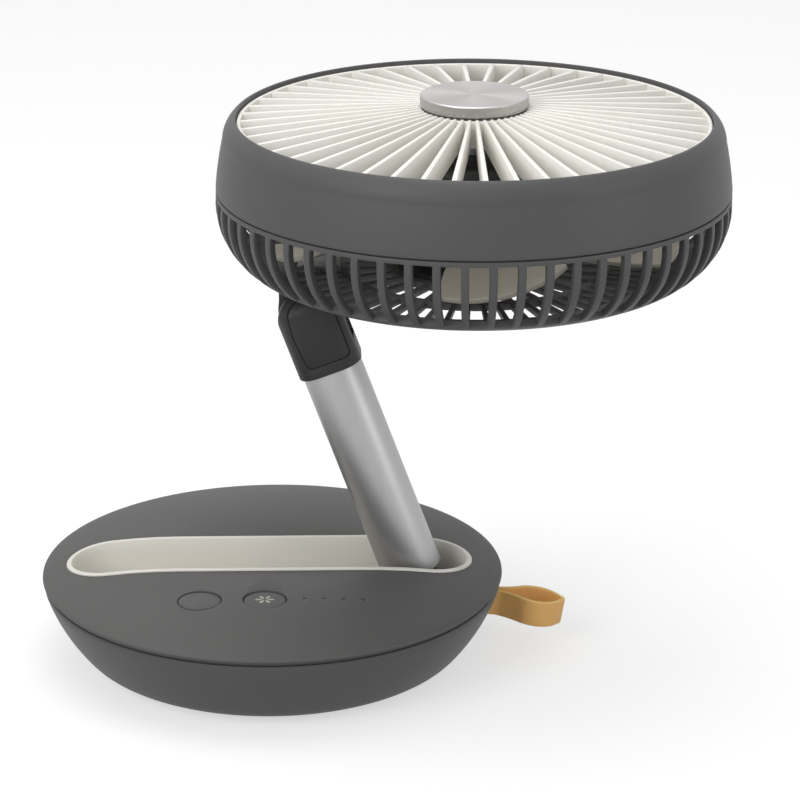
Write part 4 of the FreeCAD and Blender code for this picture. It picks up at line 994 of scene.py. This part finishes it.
class FAN_OT_impeller(bpy.types.Operator):
    """Models the fan's twisted, cambered blades and its dark hub"""

    bl_idname = "fan.impeller"
    bl_label = "Impeller"

    def execute(self, context):
        size = context.scene.fan_sizes
        rows, across = 10, 8
        root, tip = 25.0, 87.4
        grid = []
        for i in range(rows + 1):
            share = i / rows
            radius = root + (tip - root) * share
            chord = between(share, 28, 45, 52.5)
            pitch = math.radians(between(share, 36, 23, 12.5))
            sag = between(share, 2, 4, 4)
            height = between(share, 24, 21.6, 19.4)
            row = []
            for j in range(across + 1):
                s = j / across - 0.5
                bow = -sag * (1 - 4 * s * s)
                y = chord * s * math.cos(pitch) - bow * math.sin(pitch)
                z = height + chord * s * math.sin(pitch) + bow * math.cos(pitch)
                swing = math.asin(y / max(radius, 28.0)) + BLADE_TURN
                reach = radius - (1.6 * (2 * abs(s)) ** 8 if i == rows else 0)
                row.append(mm(reach * math.cos(swing), reach * math.sin(swing), z))
            grid.append(row)
        blade = begin("blade", grid[0][0])
        trace(grid[0])
        for last, row in zip(grid, grid[1:]):
            choose(lambda v: any((v.co - p).length < 1e-7 for p in last))
            bpy.ops.mesh.extrude_region_move(TRANSFORM_OT_translate={"value": (0, 0, 0)})
            mesh = bmesh.from_edit_mesh(blade.data)
            for vertex in [v for v in mesh.verts if v.select]:
                nearest = min(range(len(last)), key=lambda k: (vertex.co - last[k]).length)
                vertex.co = row[nearest]
            bmesh.update_edit_mesh(blade.data)
        bpy.ops.mesh.select_all(action="SELECT")
        bpy.ops.mesh.normals_make_consistent(inside=False)
        bpy.ops.object.mode_set(mode="OBJECT")
        thicken(blade, size.blade, 0.0)
        soften(blade, 0.0006, 3, 50)
        bpy.ops.object.mode_set(mode="EDIT")
        repeat(size.blade_count)
        close_up()
        seat(blade, HEAD_PLACE)
        blade.name = blade.data.name = "fan_blades"
        # The blades' finish holds painted shade: a darkened ivory in place of the shade inside the head.
        settle(blade, "fan_rotor", "ivory_blades", "blades", "fan_impeller", angle=50)
        section = [
            (2.51, 34),
            (6, 34),
            (6, 47),
            (24, 45),
            (24, 13.2),
            (26, 13.2),
            *arc((26, 46), (21, 50.6), -6, 6),
            (2.51, 50.6),
        ]
        hub = revolve("fan_hub", section, 96, closed=True)
        seat(hub, HEAD_PLACE)
        settle(hub, "fan_rotor", "dark_fitting", "dark")
        return {"FINISHED"}


class FAN_OT_inner_parts(bpy.types.Operator):
    """Dresses the frame's own pieces inside the base, arm and head"""

    bl_idname = "fan.inner_parts"
    bl_label = "Inner parts"

    def execute(self, context):
        dress(
            "steel", "ballast_plate", "front_ballast", "base_spacers", "hinge_cradle", "base_screws", "cradle_screws",
            "board_screws", "base_hinge_pin", "hinge_pin_clips", "usb_c_socket", "strap_pin", "tube_pins", "tilt_axle",
            "tilt_axle_clips", "saddle_plate", "saddle_screws", "motor_shaft", "fan_clip",
        )
        dress(
            "dark", "base_friction_washers", "battery_holder", "button_switches", "arm_foot", "arm_lead", "motor_mount",
        )
        dress("black_steel", "tilt_friction_discs")
        dress("board", "control_board", "charge_board")
        dress("lens", "led_chips")
        dress("wrap", "battery_cells")
        dress("can", "motor_housing", "motor_rotor")
        dress("copper", "motor_stator")
        dress("bronze", "motor_bushes")
        return {"FINISHED"}


# Stage


def lamp(name, place, target, width, height, radiance):
    """A soft rectangular lamp whose face shines with a given brightness, 1 being white."""
    data = bpy.data.lights.new(name, "AREA")
    data.shape = "RECTANGLE"
    data.size = width
    data.size_y = height
    data.energy = radiance * math.pi * width * height
    made = bpy.data.objects.new(name, data)
    bpy.context.collection.objects.link(made)
    way = Vector(target) - Vector(place)
    made.matrix_world = Matrix.Translation(place) @ way.to_track_quat("-Z", "Y").to_matrix().to_4x4()


def seen_directly(tree):
    """1 for a ray from the camera, or one that was mirrored or let through, and 0 for a ray that lights."""
    path = add(tree, "ShaderNodeLightPath").outputs
    seen = path["Is Camera Ray"]
    for ray in ("Is Glossy Ray", "Is Transmission Ray"):
        seen = add(tree, "ShaderNodeMath", {"operation": "MAXIMUM"}, {0: seen, 1: path[ray]}).outputs[0]
    return seen


class FAN_OT_stage(bpy.types.Operator):
    """Sets the pale floor, soft lamps, white surroundings and camera"""

    bl_idname = "fan.stage"
    bl_label = "Stage"

    def execute(self, context):
        scene = context.scene
        scene.view_settings.view_transform = "Standard"
        corners = [mm(-6000, -4000), mm(6000, -4000), mm(6000, 8000), mm(-6000, 8000)]
        floor = outline_face("floor", corners)
        bpy.ops.object.mode_set(mode="OBJECT")
        floor.location.z = -0.0002

        material, tree, shader, place = finish("matt_white_paper", Roughness=0.9)
        shader.inputs["Base Color"].default_value = (0.5, 0.5, 0.5, 1)
        glow = add(tree, "ShaderNodeEmission", None, {"Strength": seen_directly(tree), "Color": (0.58, 0.58, 0.58, 1)})
        both = add(tree, "ShaderNodeAddShader", None, {0: shader.outputs[0], 1: glow.outputs[0]})
        tree.links.new(both.outputs[0], tree.nodes["Material Output"].inputs[0])
        floor.data.materials.append(material)

        world = bpy.data.worlds.new("white_surroundings")
        scene.world = world
        world.use_nodes = True
        tree = world.node_tree
        level = add(tree, "ShaderNodeMapRange", None, {"Value": seen_directly(tree), "To Min": 0.45, "To Max": 1.0})
        background = tree.nodes["Background"]
        background.inputs["Color"].default_value = (1, 1, 1, 1)
        tree.links.new(level.outputs[0], background.inputs["Strength"])

        middle = (0.05, 0, 0.12)
        lamp("key_softbox", (-0.95, -1.15, 0.95), middle, 0.9, 1.1, 3.4)
        lamp("fill_softbox", (1.35, -0.7, 0.5), middle, 0.45, 1.2, 2.2)
        lamp("top_softbox", (-0.1, 0.15, 1.6), middle, 1.2, 1.2, 2.1)

        data = bpy.data.cameras.new("view")
        data.sensor_width = 36
        data.lens = LENS
        data.clip_end = 50
        camera = bpy.data.objects.new("view", data)
        context.collection.objects.link(camera)
        eye, target = mm(*EYE), mm(*TARGET)
        aim = (target - eye).to_track_quat("-Z", "Y").to_matrix().to_4x4()
        camera.matrix_world = Matrix.Translation(eye) @ aim @ Matrix.Rotation(ROLL, 4, "Z")
        scene.camera = camera
        return {"FINISHED"}


STEPS = (
    FAN_OT_lower_shell,
    FAN_OT_top_cover,
    FAN_OT_recess_liner,
    FAN_OT_grip_pad,
    FAN_OT_buttons,
    FAN_OT_lights,
    FAN_OT_strap,
    FAN_OT_arm_tube,
    FAN_OT_knuckle,
    FAN_OT_bracket,
    FAN_OT_rear_shell,
    FAN_OT_bezel,
    FAN_OT_grille,
    FAN_OT_hub_cap,
    FAN_OT_impeller,
    FAN_OT_inner_parts,
    FAN_OT_stage,
)


class FAN_PT_panel(bpy.types.Panel):
    """Lists the steps and the settings"""

    bl_idname = "FAN_PT_panel"
    bl_label = "Camping fan"
    bl_space_type = "VIEW_3D"
    bl_region_type = "UI"
    bl_category = "Camping fan"

    def draw(self, context):
        for group in (context.scene.fan_sizes, context.scene.fan_colours):
            for name in group.__annotations__:
                self.layout.prop(group, name)
        for step in STEPS:
            self.layout.operator(step.bl_idname)


CLASSES = (FanSizes, FanColours, *STEPS, FAN_PT_panel)


def register():
    for made in CLASSES:
        bpy.utils.register_class(made)
    bpy.types.Scene.fan_sizes = bpy.props.PointerProperty(type=FanSizes)
    bpy.types.Scene.fan_colours = bpy.props.PointerProperty(type=FanColours)


def unregister():
    del bpy.types.Scene.fan_sizes
    del bpy.types.Scene.fan_colours
    for made in reversed(CLASSES):
        bpy.utils.unregister_class(made)


def main():
    register()
    FINISHES.update(make_finishes(bpy.context.scene.fan_colours))
    for step in STEPS:
        family, name = step.bl_idname.split(".")
        getattr(getattr(bpy.ops, family), name)()


if __name__ == "__main__":
    main()
